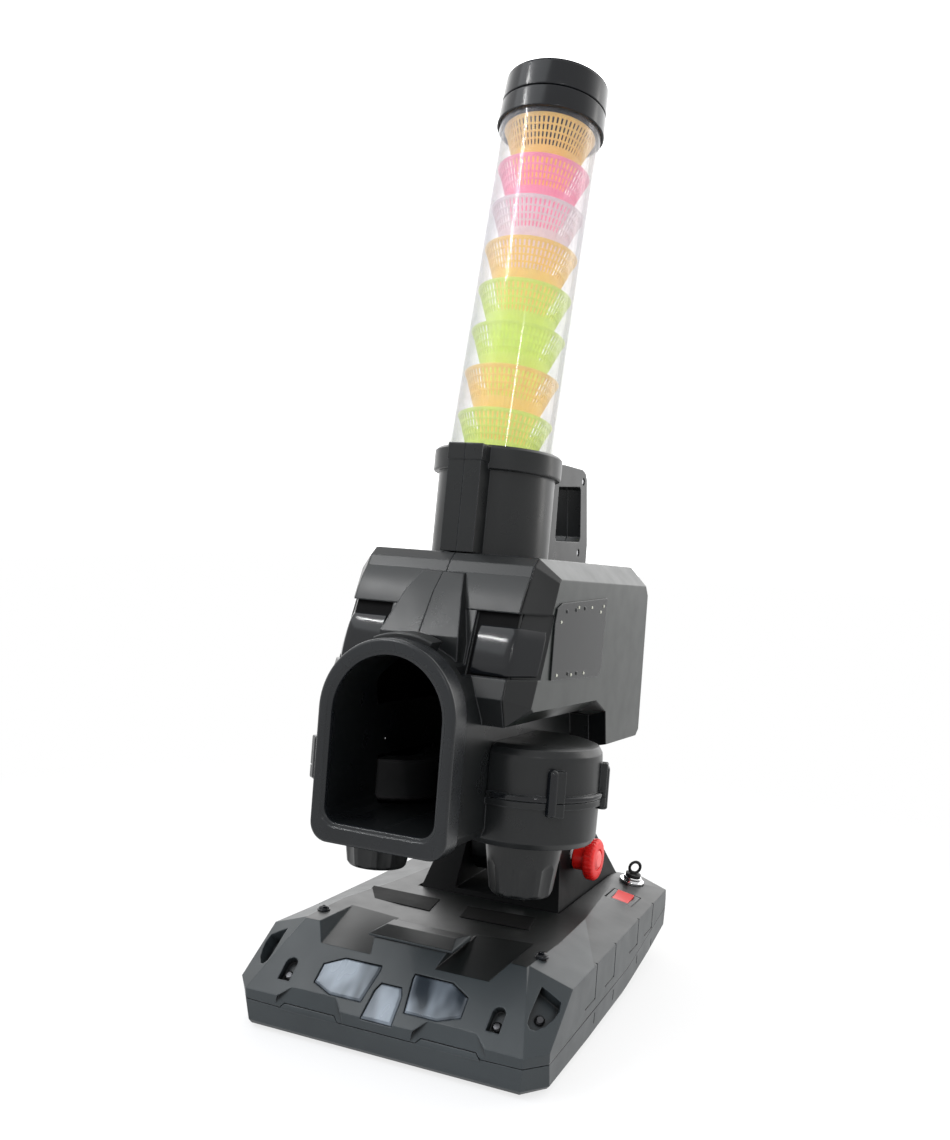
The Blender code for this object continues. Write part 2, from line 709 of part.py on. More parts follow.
def make_battery():
    lip = 4.0
    box = block(-DOOR_HALF - lip, DOOR_HALF + lip, DOOR_FRONT - lip, DOOR_REAR + lip, WALL + GAP, 40.0)
    room = block(-DOOR_HALF + 1.5, DOOR_HALF - 1.5, DOOR_FRONT + 1.5, DOOR_REAR - 1.5, 0.0, 37.5)
    place("battery_box", cut(box, room), "black", BASE, soft=False)
    pack = block(-DOOR_HALF + 3.0, DOOR_HALF - 3.0, DOOR_FRONT + 3.0, DOOR_REAR - 3.0,
                 DOOR_THICK + GAP, 36.0, 2.0)
    place("battery_pack", pack, "cell", BASE, soft=False)
    door = block(-DOOR_HALF + GAP, DOOR_HALF - GAP, DOOR_FRONT + GAP, DOOR_REAR - GAP, 0.0, DOOR_THICK)
    place("battery_door", door, "black", BASE, soft=False)


def make_tower():
    low = [(TOWER_HALF_LOW, 30.0), (TOWER_HALF_LOW, 170.0), (TOWER_HALF_LOW - 8, 176.0),
           (-TOWER_HALF_LOW + 8, 176.0), (-TOWER_HALF_LOW, 170.0), (-TOWER_HALF_LOW, 30.0)]
    high = [(TOWER_HALF_HIGH, 58.0), (TOWER_HALF_HIGH, 126.0), (TOWER_HALF_HIGH - 6, 130.0),
            (-TOWER_HALF_HIGH + 6, 130.0), (-TOWER_HALF_HIGH, 126.0), (-TOWER_HALF_HIGH, 58.0)]
    tower = lofted([[(x, y, TOWER_LOW) for x, y in low], [(x, y, TOWER_HIGH) for x, y in high]])
    slot = block(-SLOT_HALF, SLOT_HALF, 10.0, 200.0, SLOT_FLOOR, 120.0)
    tower = cut(tower, slot)
    for side in (1, -1):
        room = hull([(side * x, y, z) for x, y, z in
                     ((SLOT_HALF + 3, 40, 51), (TOWER_HALF_LOW - 4, 40, 51), (TOWER_HALF_LOW - 4, 160, 51),
                      (SLOT_HALF + 3, 160, 51), (SLOT_HALF + 3, 50, 73), (TOWER_HALF_LOW - 9, 50, 73),
                      (TOWER_HALF_LOW - 9, 146, 73), (SLOT_HALF + 3, 146, 73))])
        tower = cut(tower, room)
    tower = cut(tower, rod(SHAFT_R + GAP, -80.0, 80.0, (PIVOT_Y, PIVOT_Z), "X", 24))
    place("stand_tower", tower, "black", BASE)


def make_lenses():
    right = lens(SIDE_LENS)
    left = mirrored(right)
    place("lens_right", right, "lens", BASE, soft=False)
    place("lens_left", left, "lens", BASE, soft=False)
    place("lens_centre", lens(CENTRE_LENS), "lens", BASE, soft=False)


def make_base_small_parts():
    place("lamp_board", block(-60.0, 60.0, -124.5, -122.9, 8.0, 24.0), "board", BASE, soft=False)
    place("control_board", block(-40.0, 40.0, 62.0, 140.0, 26.0, 27.6), "board", BASE, soft=False)
    index = 0
    for x, y in FOOT_SPOTS:
        for side in (1, -1):
            index += 1
            foot = turned([(0.0, -GAP), (FOOT_R, -GAP), (FOOT_R, -FOOT_SHOW + 0.6),
                           (FOOT_R - 0.6, -FOOT_SHOW), (0.0, -FOOT_SHOW)], 16)
            place("foot_%d" % index, moved(foot, Matrix.Translation((side * x, y, 0.0))), "rubber", BASE)
    slope_screw = on_slope(screw_solid(*WELL_SCREW, -WELL_DEPTH))
    facet_screw = on_facet(screw_solid(*POCKET_SCREW, -POCKET_DEPTH))
    for index, screw in enumerate((mirrored(slope_screw), mirrored(facet_screw), slope_screw, facet_screw)):
        place("base_screw_%d" % (index + 1), screw, "steel", BASE)


def make_switch():
    frame = slope_frame(*SWITCH_SPOT, SIDE_SLOPE)
    body = block(-SWITCH_HALF_X, SWITCH_HALF_X, -SWITCH_HALF_Y, SWITCH_HALF_Y, -11.0, 1.0)
    flange = block(-11.0, 11.0, -12.5, 12.5, GAP, 2.0, 0.6)
    body = joined(body, flange)
    body = cut(body, block(-7.0, 7.0, -8.6, 8.6, -9.0, 6.0))
    place("switch_bezel", body, "black", frame, soft=False)
    outline = [(-7.9, 2.4), (-7.9, -2.4), (-2.0, -5.0), (2.0, -5.0), (7.9, -2.4), (7.9, 2.4), (0.0, 1.5)]
    rocker = slab(outline, "X", -6.7, 6.7)
    part = place("power_rocker", rocker, "red", frame, soft=False)
    part.location = (0.0, 0.0, 0.0006)
    part.rotation_euler = (math.radians(8.0), 0.0, 0.0)


def make_socket():
    frame = slope_frame(*SOCKET_SPOT, SIDE_SLOPE)
    body = turned([(SOCKET_R - 2.4, 6.0), (SOCKET_R - 0.4, 6.0), (SOCKET_R, 5.4), (SOCKET_R, 3.2),
                   (10.0, 3.0), (10.0, GAP), (SOCKET_R, GAP), (SOCKET_R, -13.0), (2.0, -13.0),
                   (2.0, -9.0), (SOCKET_R - 2.4, -9.0)], 16, closed=True)
    place("panel_connector", body, "chrome", frame)
    stem = turned([(0.0, 8.2), (SOCKET_R - 1.2, 8.2), (SOCKET_R - 1.2, 6.3), (4.6, 6.3), (4.6, -6.0),
                   (0.0, -6.0)], 14)
    bpy.ops.mesh.primitive_torus_add(major_radius=4.7, minor_radius=1.3, major_segments=16,
                                     minor_segments=6, location=(0.0, 0.0, 0.0))
    ring = bpy.context.active_object
    ring_mesh = ring.data.copy()
    bpy.data.objects.remove(ring)
    tidy(ring_mesh)
    loop = temporary("ring", ring_mesh)
    moved(loop, Matrix.Translation((0.0, 0.0, 13.4)) @ Matrix.Rotation(math.radians(40), 4, "Z")
          @ Matrix.Rotation(math.radians(90), 4, "X"))
    place("connector_plug", joined(stem, loop), "rubber", frame)


# Head: the two moulded shell halves, drawn once for the +X half

CORE_SIDE = [(-187, HOOD_Z), (-46, HOOD_Z), (-21, 112.5), (-14, 88), (58, 88), (63, 93), (63, 219),
             (55, TOP_Z), (-149, TOP_Z), (-156, 221.5), (-174.7, 190.5), (-189.1, 148.6), (-194, 136)]
CORE_ROOM = [(-170, HOOD_Z + WALL), (-44, HOOD_Z + WALL), (-18.5, 115), (-11.5, 90.5), (57, 90.5),
             (60.5, 94), (60.5, 218), (54, TOP_Z - WALL), (-140, TOP_Z - WALL), (-147, 219),
             (-165.5, 189), (-179, 148.6), (-182, 140)]


def collar_frame(solid):
    """Carry a solid from the collar's own frame (z 0 at the rim's top) into the head's."""
    return moved(solid, Matrix.Translation((0.0, RIM_Y, RIM_Z)) @ Matrix.Rotation(-COLLAR_LEAN, 4, "X"))


def front_band(offset, low_z, high_z, reach):
    """Plan outlines of the band round the head's front corner, moved inwards by an offset."""
    rings = []
    for z in (low_z, high_z):
        share = (z - 148.6) / (190.5 - 148.6)
        y1 = -189.1 + share * (-174.7 + 189.1) + offset
        y2 = -169.3 + share * (-151.5 + 169.3)
        corner = Vector((61.15 - offset * 0.52, y1))
        edge = Vector((COVER_FACE, y2)) + Vector((-0.859, 0.513)) * offset
        along = (edge - corner).normalized()
        end = edge + along * reach
        rings.append([(31.0, y1, z), (corner.x, corner.y, z), (end.x, end.y, z)])
    return rings


def window_cutter():
    inner = front_band(3.0, 148.6, 190.5, 3.0)
    outer = front_band(-14.0, 148.6, 190.5, 12.0)
    rings = [deep + list(reversed(shallow)) for deep, shallow in zip(inner, outer)]
    return lofted(rings)


def visor_solid():
    outer = front_band(0.6, 150.0, 186.5, -0.9)
    inner = front_band(2.7, 150.0, 186.5, -0.9)
    rings = []
    for shallow, deep in zip(outer, inner):
        start = [(x + 0.6 if x < 32 else x, y, z) for x, y, z in shallow]
        end = [(x + 0.6 if x < 32 else x, y, z) for x, y, z in deep]
        rings.append(start + list(reversed(end)))
    return lofted(rings)


def spine_solid():
    points = []
    for side in (1, -1):
        points += [(side * 14.0, -150, 214.6), (side * 15.2, -165.6, 213.4), (side * 20.5, -178.2, 200.2),
                   (side * 28.5, -195.5, 172.5), (side * 29.2, -196.5, 157), (side * 29.2, -150, 157)]
    return hull(points)


MOTOR_FLANGE_LOW = POD_LOW + 3.0 + GAP
MOTOR_FLANGE_TOP = MOTOR_FLANGE_LOW + MOTOR_FLANGE_THICK
BOSS_ANGLE = math.radians(-48.0)
TAB_ANGLE = math.radians(14.0)


def pod_boss(angle, width, low, high, reach):
    """Upright block on the rim of a pod at an angle."""
    solid = block(POD_R - 1.6, POD_R + reach, -width / 2, width / 2, low, high, 1.0)
    turn = Matrix.Translation((POD_X, POD_Y, 0.0)) @ Matrix.Rotation(angle, 4, "Z")
    return moved(solid, turn)


def pod_body():
    """Lower half of a pod with its two screw bosses, cut flat where the pod cover sits."""
    over = FLANGE_SPLIT + 1.0
    body = turned([(0.0, over), (FLANGE_R, over), (FLANGE_R, FLANGE_LOW), (POD_R - 0.4, FLANGE_LOW),
                   (POD_R - 0.9, POD_LOW + 4), (POD_R - 3.4, POD_LOW), (0.0, POD_LOW)], 36,
                  centre=(POD_X, POD_Y, 0.0))
    body = joined(body, pod_boss(BOSS_ANGLE, 11.5, FLANGE_LOW - 4.6, over + 1.0, 4.6),
                  pod_boss(TAB_ANGLE, 9.0, FLANGE_LOW - 2.1, over + 1.0, 4.2))
    return cut(body, block(-50.0, 200.0, -300.0, 50.0, FLANGE_SPLIT, 200.0))


# The carrying handle and its finger hole, as (y, height above the head's top)
GRIP = [(-60, -3), (40, -3), (86, -3), (86, 16.5), (73.2, 71), (69, 76), (61.3, 78.2), (17.8, 77.8), (0, 76.5),
        (-30, 73), (-60, 69)]
FINGER_HOLE = [(8, 19), (11, 16.3), (65, 18), (67.5, 22), (60, 61), (57.2, 63.6), (8, 59.4)]


def above_top(outline):
    return [(y, TOP_Z + rise) for y, rise in outline]


def make_shells():
    shell = slab(CORE_SIDE, "X", -5.0, CORE_HALF)
    shell = joined(shell, block(-5.0, 42.0, 55.0, 88.0, 104.0, TOP_Z - 1.4, 3.0))
    shell = joined(shell, spine_solid())
    shell = joined(shell, slab(arch(MOUTH_HALF + BARREL_RIM, MOUTH_LOW - BARREL_FOOT, MOUTH_HIGH + 7.4, 8.0),
                               "Y", BEZEL_Y + BEZEL_DEPTH - 1.0, -17.0))
    shell = joined(shell, slab(arch(MOUTH_HALF + BEZEL_RIM, MOUTH_LOW - BEZEL_FOOT, MOUTH_HIGH + 10.0, 12.0, 16),
                               "Y", BEZEL_Y, BEZEL_Y + BEZEL_DEPTH))
    shell = joined(shell, pod_body())
    neck = [(-32, 100), (-32, 86), (-22, 6)]
    for step in range(9):
        angle = math.pi + math.pi * step / 8
        neck.append((22.0 * math.cos(angle), 22.0 * math.sin(angle)))
    neck += [(22, 6), (44, 86), (44, 100)]
    shell = joined(shell, slab(neck, "X", -5.0, NECK_HALF))
    foot = -COLLAR_TALL - COLLAR_SINK
    collar = turned([(0.0, 0.0), (RIM_R - 2.0, 0.0), (RIM_R, -2.0), (RIM_R, -RIM_BAND + 1.0),
                     (RIM_R - 1.0, -RIM_BAND), (COLLAR_R, -RIM_BAND), (COLLAR_R, foot), (0.0, foot)], 36)
    rib = joined(block(-5.0, RIB_HALF, -RIB_FRONT, -38.0, -13.0, -1.2, 0.8),
                 block(-5.0, RIB_HALF - 0.8, -RIB_FRONT + 0.8, -38.0, foot, -12.0))
    shell = joined(shell, collar_frame(joined(collar, rib)))
    grip = slab(above_top(GRIP), "X", -5.0, 12.0)
    finger = slab(above_top(FINGER_HOLE), "X", -10.0, 20.0)
    shell = joined(shell, grip)
    room = slab(CORE_ROOM, "X", -9.0, CORE_HALF - WALL)
    rear_room = block(-9.0, 39.5, 50.0, 85.5, 106.5, TOP_Z - 4.5)
    tunnel = slab(arch(MOUTH_HALF, MOUTH_LOW, MOUTH_HIGH, 8.0, 16), "Y", BEZEL_Y - 10.0, -19.5)
    pod_room = shared(rod(ROOM_R - 1.1, POD_LOW + 3.0, 90.0, (POD_X, POD_Y), "Z", 36),
                      block(MOUTH_HALF + BARREL_RIM + 0.3, 200.0, -300.0, 0.0, 0.0, 100.0))
    wheel_slot = rod(ROOM_R, WHEEL_LOW - 3.0, WHEEL_HIGH + 3.0, (POD_X, POD_Y), "Z", 36)
    neck_room = block(-9.0, NECK_HALF - WALL, -16.4, 21.0, 15.0, 96.0)
    shell = cut(shell, finger, room, rear_room, tunnel, pod_room, wheel_slot, neck_room)
    shell = cut(shell, rod(MOTOR_R + 0.4, POD_LOW - 5.0, POD_LOW + 5.0, (POD_X, POD_Y), "Z", 32),
                rod(MOTOR_FLANGE_R + 0.6, POD_LOW + 3.0, MOTOR_FLANGE_TOP + 0.6, (POD_X, POD_Y), "Z", 32))
    shell = cut(shell, rod(SHAFT_R + GAP, -10.0, 60.0, (0.0, 0.0), "X", 24))
    chute = collar_frame(rod(BORE_R + 2.5, GATE_Z + CHUTE_ROOM - RIM_Z, foot + 5.0, (0.0, 0.0), "Z", 32))
    shell = joined(shell, chute)
    shell = joined(shell, rod(6.0, 49.0, CORE_HALF - 1.0, (GATE_Y, GATE_Z), "X", 20))
    shell = joined(shell, rod(15.5, 50.8, CORE_HALF - 1.0, (ARM_Y, ARM_Z), "X", 24))
    shell = cut(shell, rod(GATE_PIN_R + GAP, 40.0, 58.0, (GATE_Y, GATE_Z), "X", 16))
    shell = cut(shell, collar_frame(rod(BORE_R, -120.0, 5.0, (0.0, 0.0), "Z", 32)),
                collar_frame(rod(SEAT_R, -RIM_BAND, 5.0, (0.0, 0.0), "Z", 36)))
    shell = cut(shell, window_cutter())
    for y, z in HANDLE_SCREWS:
        shell = cut(shell, rod(3.2, 10.0, 14.0, (y, z), "X", 16), rod(1.8, 2.0, 12.0, (y, z), "X", 12))
    right = shared(copy_of(shell), block(GAP / 2, 200.0, -400.0, 200.0, -100.0, 400.0))
    bpy.data.objects.remove(shell)
    left = mirrored(right)
    place("shell_right", right, "black", HEAD)
    place("shell_left", left, "black", HEAD)


HANDLE_SCREWS = [(64.9, TOP_Z + 68.5), (64.8, TOP_Z + 8.8)]
GATE_Y = -54.0
GATE_ROOM = 6.6
GATE_Z = TUBE_Z + LOWEST_TIP * math.cos(TUBE_LEAN) - GATE_ROOM
CHUTE_ROOM = 4.2
GATE_PIN_R = 2.5
GATE_LENGTH = 71.0
ARM_Y = -28.0
ARM_Z = 135.0
ARM_LENGTH = 75.0

COVER_INNER = [(-187, HOOD_Z + 0.3), (-46, HOOD_Z + 0.3), (-21, 112.8), (-14, 88), (60, 88), (66, 94), (65, 219),
               (57, TOP_Z), (-149, TOP_Z), (-156, 221.5), (-174.7, 190.5), (-189.1, 148.6), (-194, 136)]
COVER_OUTER = [(-173, 128.5), (-48.3, 127.6), (-24, 117.5), (-17, 91.7), (60, 91.2), (66.5, 96), (64.8, 205),
               (58, 212.5), (-139, 214.0), (-142.2, 211.5), (-151.5, 190.5), (-169.3, 148.6), (-177.5, 131)]


def make_side_covers():
    cover = lofted([at_x(COVER_INNER, CORE_HALF + GAP), at_x(COVER_OUTER, COVER_FACE)])
    room = lofted([at_x(inset(COVER_INNER, 6.5), CORE_HALF - 2.0),
                   at_x(inset(COVER_OUTER, 6.0), COVER_FACE - WALL)])
    cover = cut(cover, room)
    cover = cut(cover, window_cutter())
    left = mirrored(cover)
    place("side_cover_right", cover, "grey", HEAD, soft=False)
    place("side_cover_left", left, "grey", HEAD, soft=False)
    visor = visor_solid()
    left_visor = mirrored(visor)
    place("visor_right", visor, "gloss", HEAD, soft=False)
    place("visor_left", left_visor, "gloss", HEAD, soft=False)
    outline = [(-149, 197.2 - 12), (-149, 147.6), (-52, 145.2), (-46, 151), (-44, 202.5), (-137, 198.5), (-146, 195)]
    plate = slab(outline, "X", COVER_FACE + GAP, COVER_FACE + GAP + 0.9)
    for y, z in ((-128, 193.0), (-110, 194.0), (-92, 195.0), (-118, 150.5), (-100, 150.0), (-84, 149.6)):
        rivet = turned([(0.0, 0.7), (1.2, 0.5), (1.7, -0.4), (0.0, -0.4)], 7, axis="X",
                       centre=(COVER_FACE + GAP + 0.9, y, z))
        plate = joined(plate, rivet)
    place("label_plate", plate, "gloss", HEAD, soft=False)


def make_pod_covers():
    cover = turned([(0.0, POD_TOP), (POD_R - 8.0, POD_TOP), (POD_R - 3.0, POD_TOP - 1.8), (POD_R - 0.4, POD_TOP - 6.0),
                    (POD_R, POD_TOP - 10.0), (POD_R, FLANGE_HIGH), (FLANGE_R, FLANGE_HIGH),
                    (FLANGE_R, FLANGE_SPLIT + GAP), (0.0, FLANGE_SPLIT + GAP)], 32, centre=(POD_X, POD_Y, 0.0))
    cover = joined(cover, pod_boss(BOSS_ANGLE, 11.5, FLANGE_SPLIT + GAP, FLANGE_HIGH + 17.0, 4.6),
                   pod_boss(TAB_ANGLE, 9.0, FLANGE_SPLIT + GAP, FLANGE_HIGH + 19.0, 4.2))
    cover = cut(cover, rod(ROOM_R, 50.0, POD_TOP - WALL, (POD_X, POD_Y), "Z", 36))
    cover = shared(cover, block(MOUTH_HALF + BARREL_RIM + GAP, 200.0, -300.0, 0.0, 0.0, 200.0))
    left = mirrored(cover)
    place("pod_cover_right", cover, "black", HEAD)
    place("pod_cover_left", left, "black", HEAD)


FLUTES = 10


def fluted_ring(radius, depth, z):
    points = []
    for step in range(FLUTES * 4):
        angle = 2 * math.pi * step / (FLUTES * 4)
        r = radius - (depth if step % 4 in (1, 2) else 0.0)
        points.append((r * math.cos(angle), r * math.sin(angle), z))
    return points


def make_launchers():
    body = lofted([fluted_ring(MOTOR_CAP_LOW_R - 1.6, 0.0, -0.5), fluted_ring(MOTOR_CAP_LOW_R, 0.7, 1.5),
                   fluted_ring(MOTOR_CAP_LOW_R + 2.7, 1.7, 19.5), fluted_ring(MOTOR_CAP_LOW_R + 3.4, 0.0, 24.0),
                   fluted_ring(MOTOR_CAP_TOP_R, 0.0, POD_LOW - GAP)])
    body = cut(body, rod(MOTOR_R + 1.5, 2.0, POD_LOW + 10.0, steps=32))
    moved(body, Matrix.Translation((POD_X, POD_Y, 0.0)))
    boss = MOTOR_FLANGE_TOP + 4.0
    motor = turned([(0.0, 80.0), (MOTOR_SHAFT_R, 80.0), (MOTOR_SHAFT_R, boss), (6.0, boss), (6.0, MOTOR_FLANGE_TOP),
                    (MOTOR_FLANGE_R, MOTOR_FLANGE_TOP), (MOTOR_FLANGE_R, MOTOR_FLANGE_LOW),
                    (MOTOR_R, MOTOR_FLANGE_LOW), (MOTOR_R, 3.0), (0.0, 3.0)], 20, centre=(POD_X, POD_Y, 0.0))
    bore = MOTOR_SHAFT_R + GAP
    hub = turned([(bore, WHEEL_HIGH), (8.0, WHEEL_HIGH), (8.0, 72.0), (HUB_R - 4.0, 72.0), (HUB_R - 4.0, WHEEL_HIGH),
                  (HUB_R, WHEEL_HIGH), (HUB_R, WHEEL_LOW), (HUB_R - 4.0, WHEEL_LOW), (HUB_R - 4.0, 64.0),
                  (8.0, 64.0), (8.0, WHEEL_LOW), (bore, WHEEL_LOW)], 20, closed=True, centre=(POD_X, POD_Y, 0.0))
    middle = (WHEEL_LOW + WHEEL_HIGH) / 2
    tyre = turned([(HUB_R + GAP, WHEEL_HIGH), (WHEEL_R - 1.0, WHEEL_HIGH), (WHEEL_R, WHEEL_HIGH - 1.5),
                   (WHEEL_R - 1.6, middle), (WHEEL_R, WHEEL_LOW + 1.5), (WHEEL_R - 1.0, WHEEL_LOW),
                   (HUB_R + GAP, WHEEL_LOW)], 28, closed=True, centre=(POD_X, POD_Y, 0.0))
    for name, solid, look in (("motor_cap", body, "black"), ("motor", motor, "steel"),
                              ("wheel_hub", hub, "grey"), ("wheel_tyre", tyre, "rubber")):
        left = mirrored(solid)
        height = middle if name.startswith("wheel") else 0.0
        place(name + "_right", solid, look, HEAD, (POD_X, POD_Y, height))
        place(name + "_left", left, look, HEAD, (-POD_X, POD_Y, height))


def make_feed():
    plate = block(-33.5, 33.5, GATE_Y - GATE_LENGTH, GATE_Y, GATE_Z - 1.2, GATE_Z + 1.2)
    gate = joined(plate, rod(GATE_PIN_R, -57.0, 57.0, (GATE_Y, GATE_Z), "X", 16))
    place("drop_gate", gate, "black", HEAD, (0.0, GATE_Y, GATE_Z))
    arm = joined(block(-6.0, 6.0, ARM_Y - 2.5, ARM_Y + 2.5, ARM_Z - ARM_LENGTH, ARM_Z),
                 rod(8.0, -6.6, 6.6, (ARM_Y, ARM_Z), "X", 16),
                 block(-12.0, 12.0, ARM_Y - 4.0, ARM_Y + 3.5, ARM_Z - ARM_LENGTH - 1.0,
                       ARM_Z - ARM_LENGTH + 16.0))
    arm = cut(arm, rod(3.3, -9.0, 9.0, (ARM_Y, ARM_Z), "X", 16))
    place("feed_arm", arm, "grey", HEAD, (0.0, ARM_Y, ARM_Z))
    motor = turned([(0.0, 50.0), (13.5, 50.0), (13.5, 12.0), (3.0, 12.0), (3.0, -7.0), (0.0, -7.0)], 16,
                   axis="X", centre=(0.0, ARM_Y, ARM_Z))
    place("feed_motor", motor, "steel", HEAD)


def make_tube():
    wall = turned([(TUBE_IN_R, TUBE_TOP), (TUBE_OUT_R, TUBE_TOP), (TUBE_OUT_R, TUBE_BOTTOM),
                   (TUBE_IN_R, TUBE_BOTTOM)], 32, closed=True)
    place("tube", wall, "clear", TUBE)
    groove = CAP_RIM + CAP_HEIGHT * 0.42
    top = CAP_RIM + CAP_HEIGHT
    inside = TUBE_OUT_R + GAP
    narrow = CAP_OUT_R - CAP_TAPER
    wide = CAP_OUT_R + CAP_TAPER
    cap = turned([(0.0, top), (narrow - 4.0, top), (narrow - 1.2, top - 1.2), (narrow, top - 4.0),
                  (CAP_OUT_R, groove + 0.8), (CAP_OUT_R - 0.9, groove + 0.4), (CAP_OUT_R - 0.9, groove - 0.4),
                  (CAP_OUT_R + 0.2, groove - 0.8), (wide, CAP_RIM), (inside, CAP_RIM), (inside, TUBE_TOP + GAP),
                  (0.0, TUBE_TOP + GAP)], 28)
    place("tube_cap", cap, "gloss", TUBE, (0.0, 0.0, CAP_RIM))


def shuttle_solid():
    """Moulded shuttle with its cork down and its rim at z 0."""
    cork_top = -SHUTTLE_LENGTH + SHUTTLE_CORK_LENGTH
    neck = SHUTTLE_CORK_R - 0.6
    skirt = [(SHUTTLE_RIM_R, 0.0), (SHUTTLE_RIM_R, -1.6), (neck, cork_top)]
    cork = [(SHUTTLE_CORK_R, cork_top - 0.1), (SHUTTLE_CORK_R, -SHUTTLE_LENGTH + 9.0),
            (SHUTTLE_CORK_R * 0.86, -SHUTTLE_LENGTH + 4.0), (SHUTTLE_CORK_R * 0.5, -SHUTTLE_LENGTH + 1.0),
            (0.0, -SHUTTLE_LENGTH)]
    inside = [(0.0, cork_top + 2.0), (neck - SHUTTLE_SKIN + 0.4, cork_top + 2.0),
              (SHUTTLE_RIM_R - SHUTTLE_SKIN, -1.0), (SHUTTLE_RIM_R - SHUTTLE_SKIN, 0.0)]
    body = turned([(0.0, 0.0)] + skirt + cork, SHUTTLE_STEPS)
    hollow = turned([(0.0, 5.0), (SHUTTLE_RIM_R - SHUTTLE_SKIN, 5.0)] + list(reversed(inside))[1:], SHUTTLE_STEPS)
    return cut(body, hollow)


SHUTTLE_LOOKS = ["lime", "lime", "orange", "lime", "lime", "orange", "blush", "rose", "amber"]


def make_shuttles():
    for index in range(SHUTTLE_COUNT):
        rim = TOP_RIM - SHUTTLE_PITCH * (SHUTTLE_COUNT - 1 - index)
        solid = moved(shuttle_solid(), Matrix.Translation((0.0, 0.0, rim)))
        place("shuttle_%d" % (index + 1), solid, SHUTTLE_LOOKS[index], TUBE)


def make_tilt():
    shaft = turned([(0.0, SLOT_HALF + 20.0), (SHAFT_R, SLOT_HALF + 20.0), (SHAFT_R, -54.0),
                    (9.0, -54.0), (9.0, -59.0), (0.0, -59.0)], 16, axis="X", centre=(0.0, PIVOT_Y, PIVOT_Z))
    place("tilt_shaft", shaft, "steel", BASE, (0.0, PIVOT_Y, PIVOT_Z))
    outline = []
    for step in range(KNURLS * 2):
        angle = math.pi * step / KNURLS
        radius = KNOB_R - (1.3 if step % 2 else 0.0)
        outline.append((PIVOT_Y + radius * math.cos(angle), PIVOT_Z + radius * math.sin(angle)))
    disc = slab(outline, "X", 60.0, 71.0)
    knob = joined(disc, rod(9.0, 52.3, 61.0, (PIVOT_Y, PIVOT_Z), "X", 24))
    knob = cut(knob, rod(7.6, 69.4, 73.0, (PIVOT_Y, PIVOT_Z), "X", 24))
    place("clamp_knob", knob, "red", BASE, (0.0, PIVOT_Y, PIVOT_Z))
    badge = turned([(0.0, 72.0), (5.5, 71.7), (7.2, 70.6), (7.2, 69.7), (0.0, 69.7)], 16, axis="X",
                   centre=(0.0, PIVOT_Y, PIVOT_Z))
    place("knob_insert", badge, "pink", BASE, (0.0, PIVOT_Y, PIVOT_Z))
    washer = turned([(SHAFT_R + GAP, SLOT_HALF - GAP), (16.0, SLOT_HALF - GAP), (16.0, NECK_HALF + GAP),
                     (SHAFT_R + GAP, NECK_HALF + GAP)], 20, closed=True, axis="X",
                    centre=(0.0, PIVOT_Y, PIVOT_Z))
    place("friction_washer", washer, "rubber", BASE)


def make_handle_screws():
    for index, (y, z) in enumerate(HANDLE_SCREWS):
        screw = turned([(0.0, 11.6), (2.4, 11.3), (2.8, 10.6), (2.8, 10.3), (1.4, 10.3), (1.4, 4.0), (0.0, 4.0)],
                       8, axis="X", centre=(0.0, y, z))
        place("handle_screw_%d" % (index + 1), screw, "steel", HEAD)


make_base_tray()
make_base_cover()
make_battery()
make_tower()
make_lenses()
make_base_small_parts()
make_switch()
make_socket()
make_shells()
make_side_covers()
make_pod_covers()
make_launchers()
make_feed()
make_tube()
make_shuttles()
make_tilt()
make_handle_screws()

for left_over in list(CUTTERS.objects):
    bpy.data.objects.remove(left_over)
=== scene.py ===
import json
import math

import bmesh
import bpy
from mathutils import Matrix, Vector

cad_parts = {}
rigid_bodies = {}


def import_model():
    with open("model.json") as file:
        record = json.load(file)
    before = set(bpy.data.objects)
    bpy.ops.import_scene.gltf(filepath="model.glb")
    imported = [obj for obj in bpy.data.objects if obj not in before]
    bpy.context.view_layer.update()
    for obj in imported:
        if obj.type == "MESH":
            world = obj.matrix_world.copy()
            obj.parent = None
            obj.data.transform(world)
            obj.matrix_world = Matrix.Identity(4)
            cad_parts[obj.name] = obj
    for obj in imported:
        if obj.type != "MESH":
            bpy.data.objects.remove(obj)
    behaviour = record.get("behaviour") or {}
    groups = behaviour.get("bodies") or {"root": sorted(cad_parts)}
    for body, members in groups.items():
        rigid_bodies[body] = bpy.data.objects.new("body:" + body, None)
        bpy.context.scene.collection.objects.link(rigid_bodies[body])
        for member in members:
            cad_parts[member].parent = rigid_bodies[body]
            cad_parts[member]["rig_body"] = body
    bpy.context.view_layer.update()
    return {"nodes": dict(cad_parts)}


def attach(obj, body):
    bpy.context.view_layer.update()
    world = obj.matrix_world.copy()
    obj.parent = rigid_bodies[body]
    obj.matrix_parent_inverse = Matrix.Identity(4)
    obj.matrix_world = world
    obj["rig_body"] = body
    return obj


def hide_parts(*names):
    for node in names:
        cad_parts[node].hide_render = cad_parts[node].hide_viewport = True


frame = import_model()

NODES = frame["nodes"]
MM = 0.001


# Frames of the tilting head and the shuttle tube, in millimetres

def leaning(degrees, origin):
    """A frame in millimetres whose Z leans back by some degrees, as a matrix into metres."""
    turn = Matrix.Rotation(math.radians(-degrees), 4, "X")
    return Matrix.Scale(MM, 4) @ Matrix.Translation(Vector(origin)) @ turn


HEAD_TILT = 3.0
TUBE_LEAN = 10.98
PIVOT = (0.0, 62.85, 91.0)
TUBE_FOOT = (0.0, 2.455, 436.0)
ROW = Matrix.Scale(MM, 4)
HEAD = leaning(HEAD_TILT, PIVOT)
TUBE = leaning(HEAD_TILT + TUBE_LEAN, TUBE_FOOT)


# Node materials, with lengths in metres

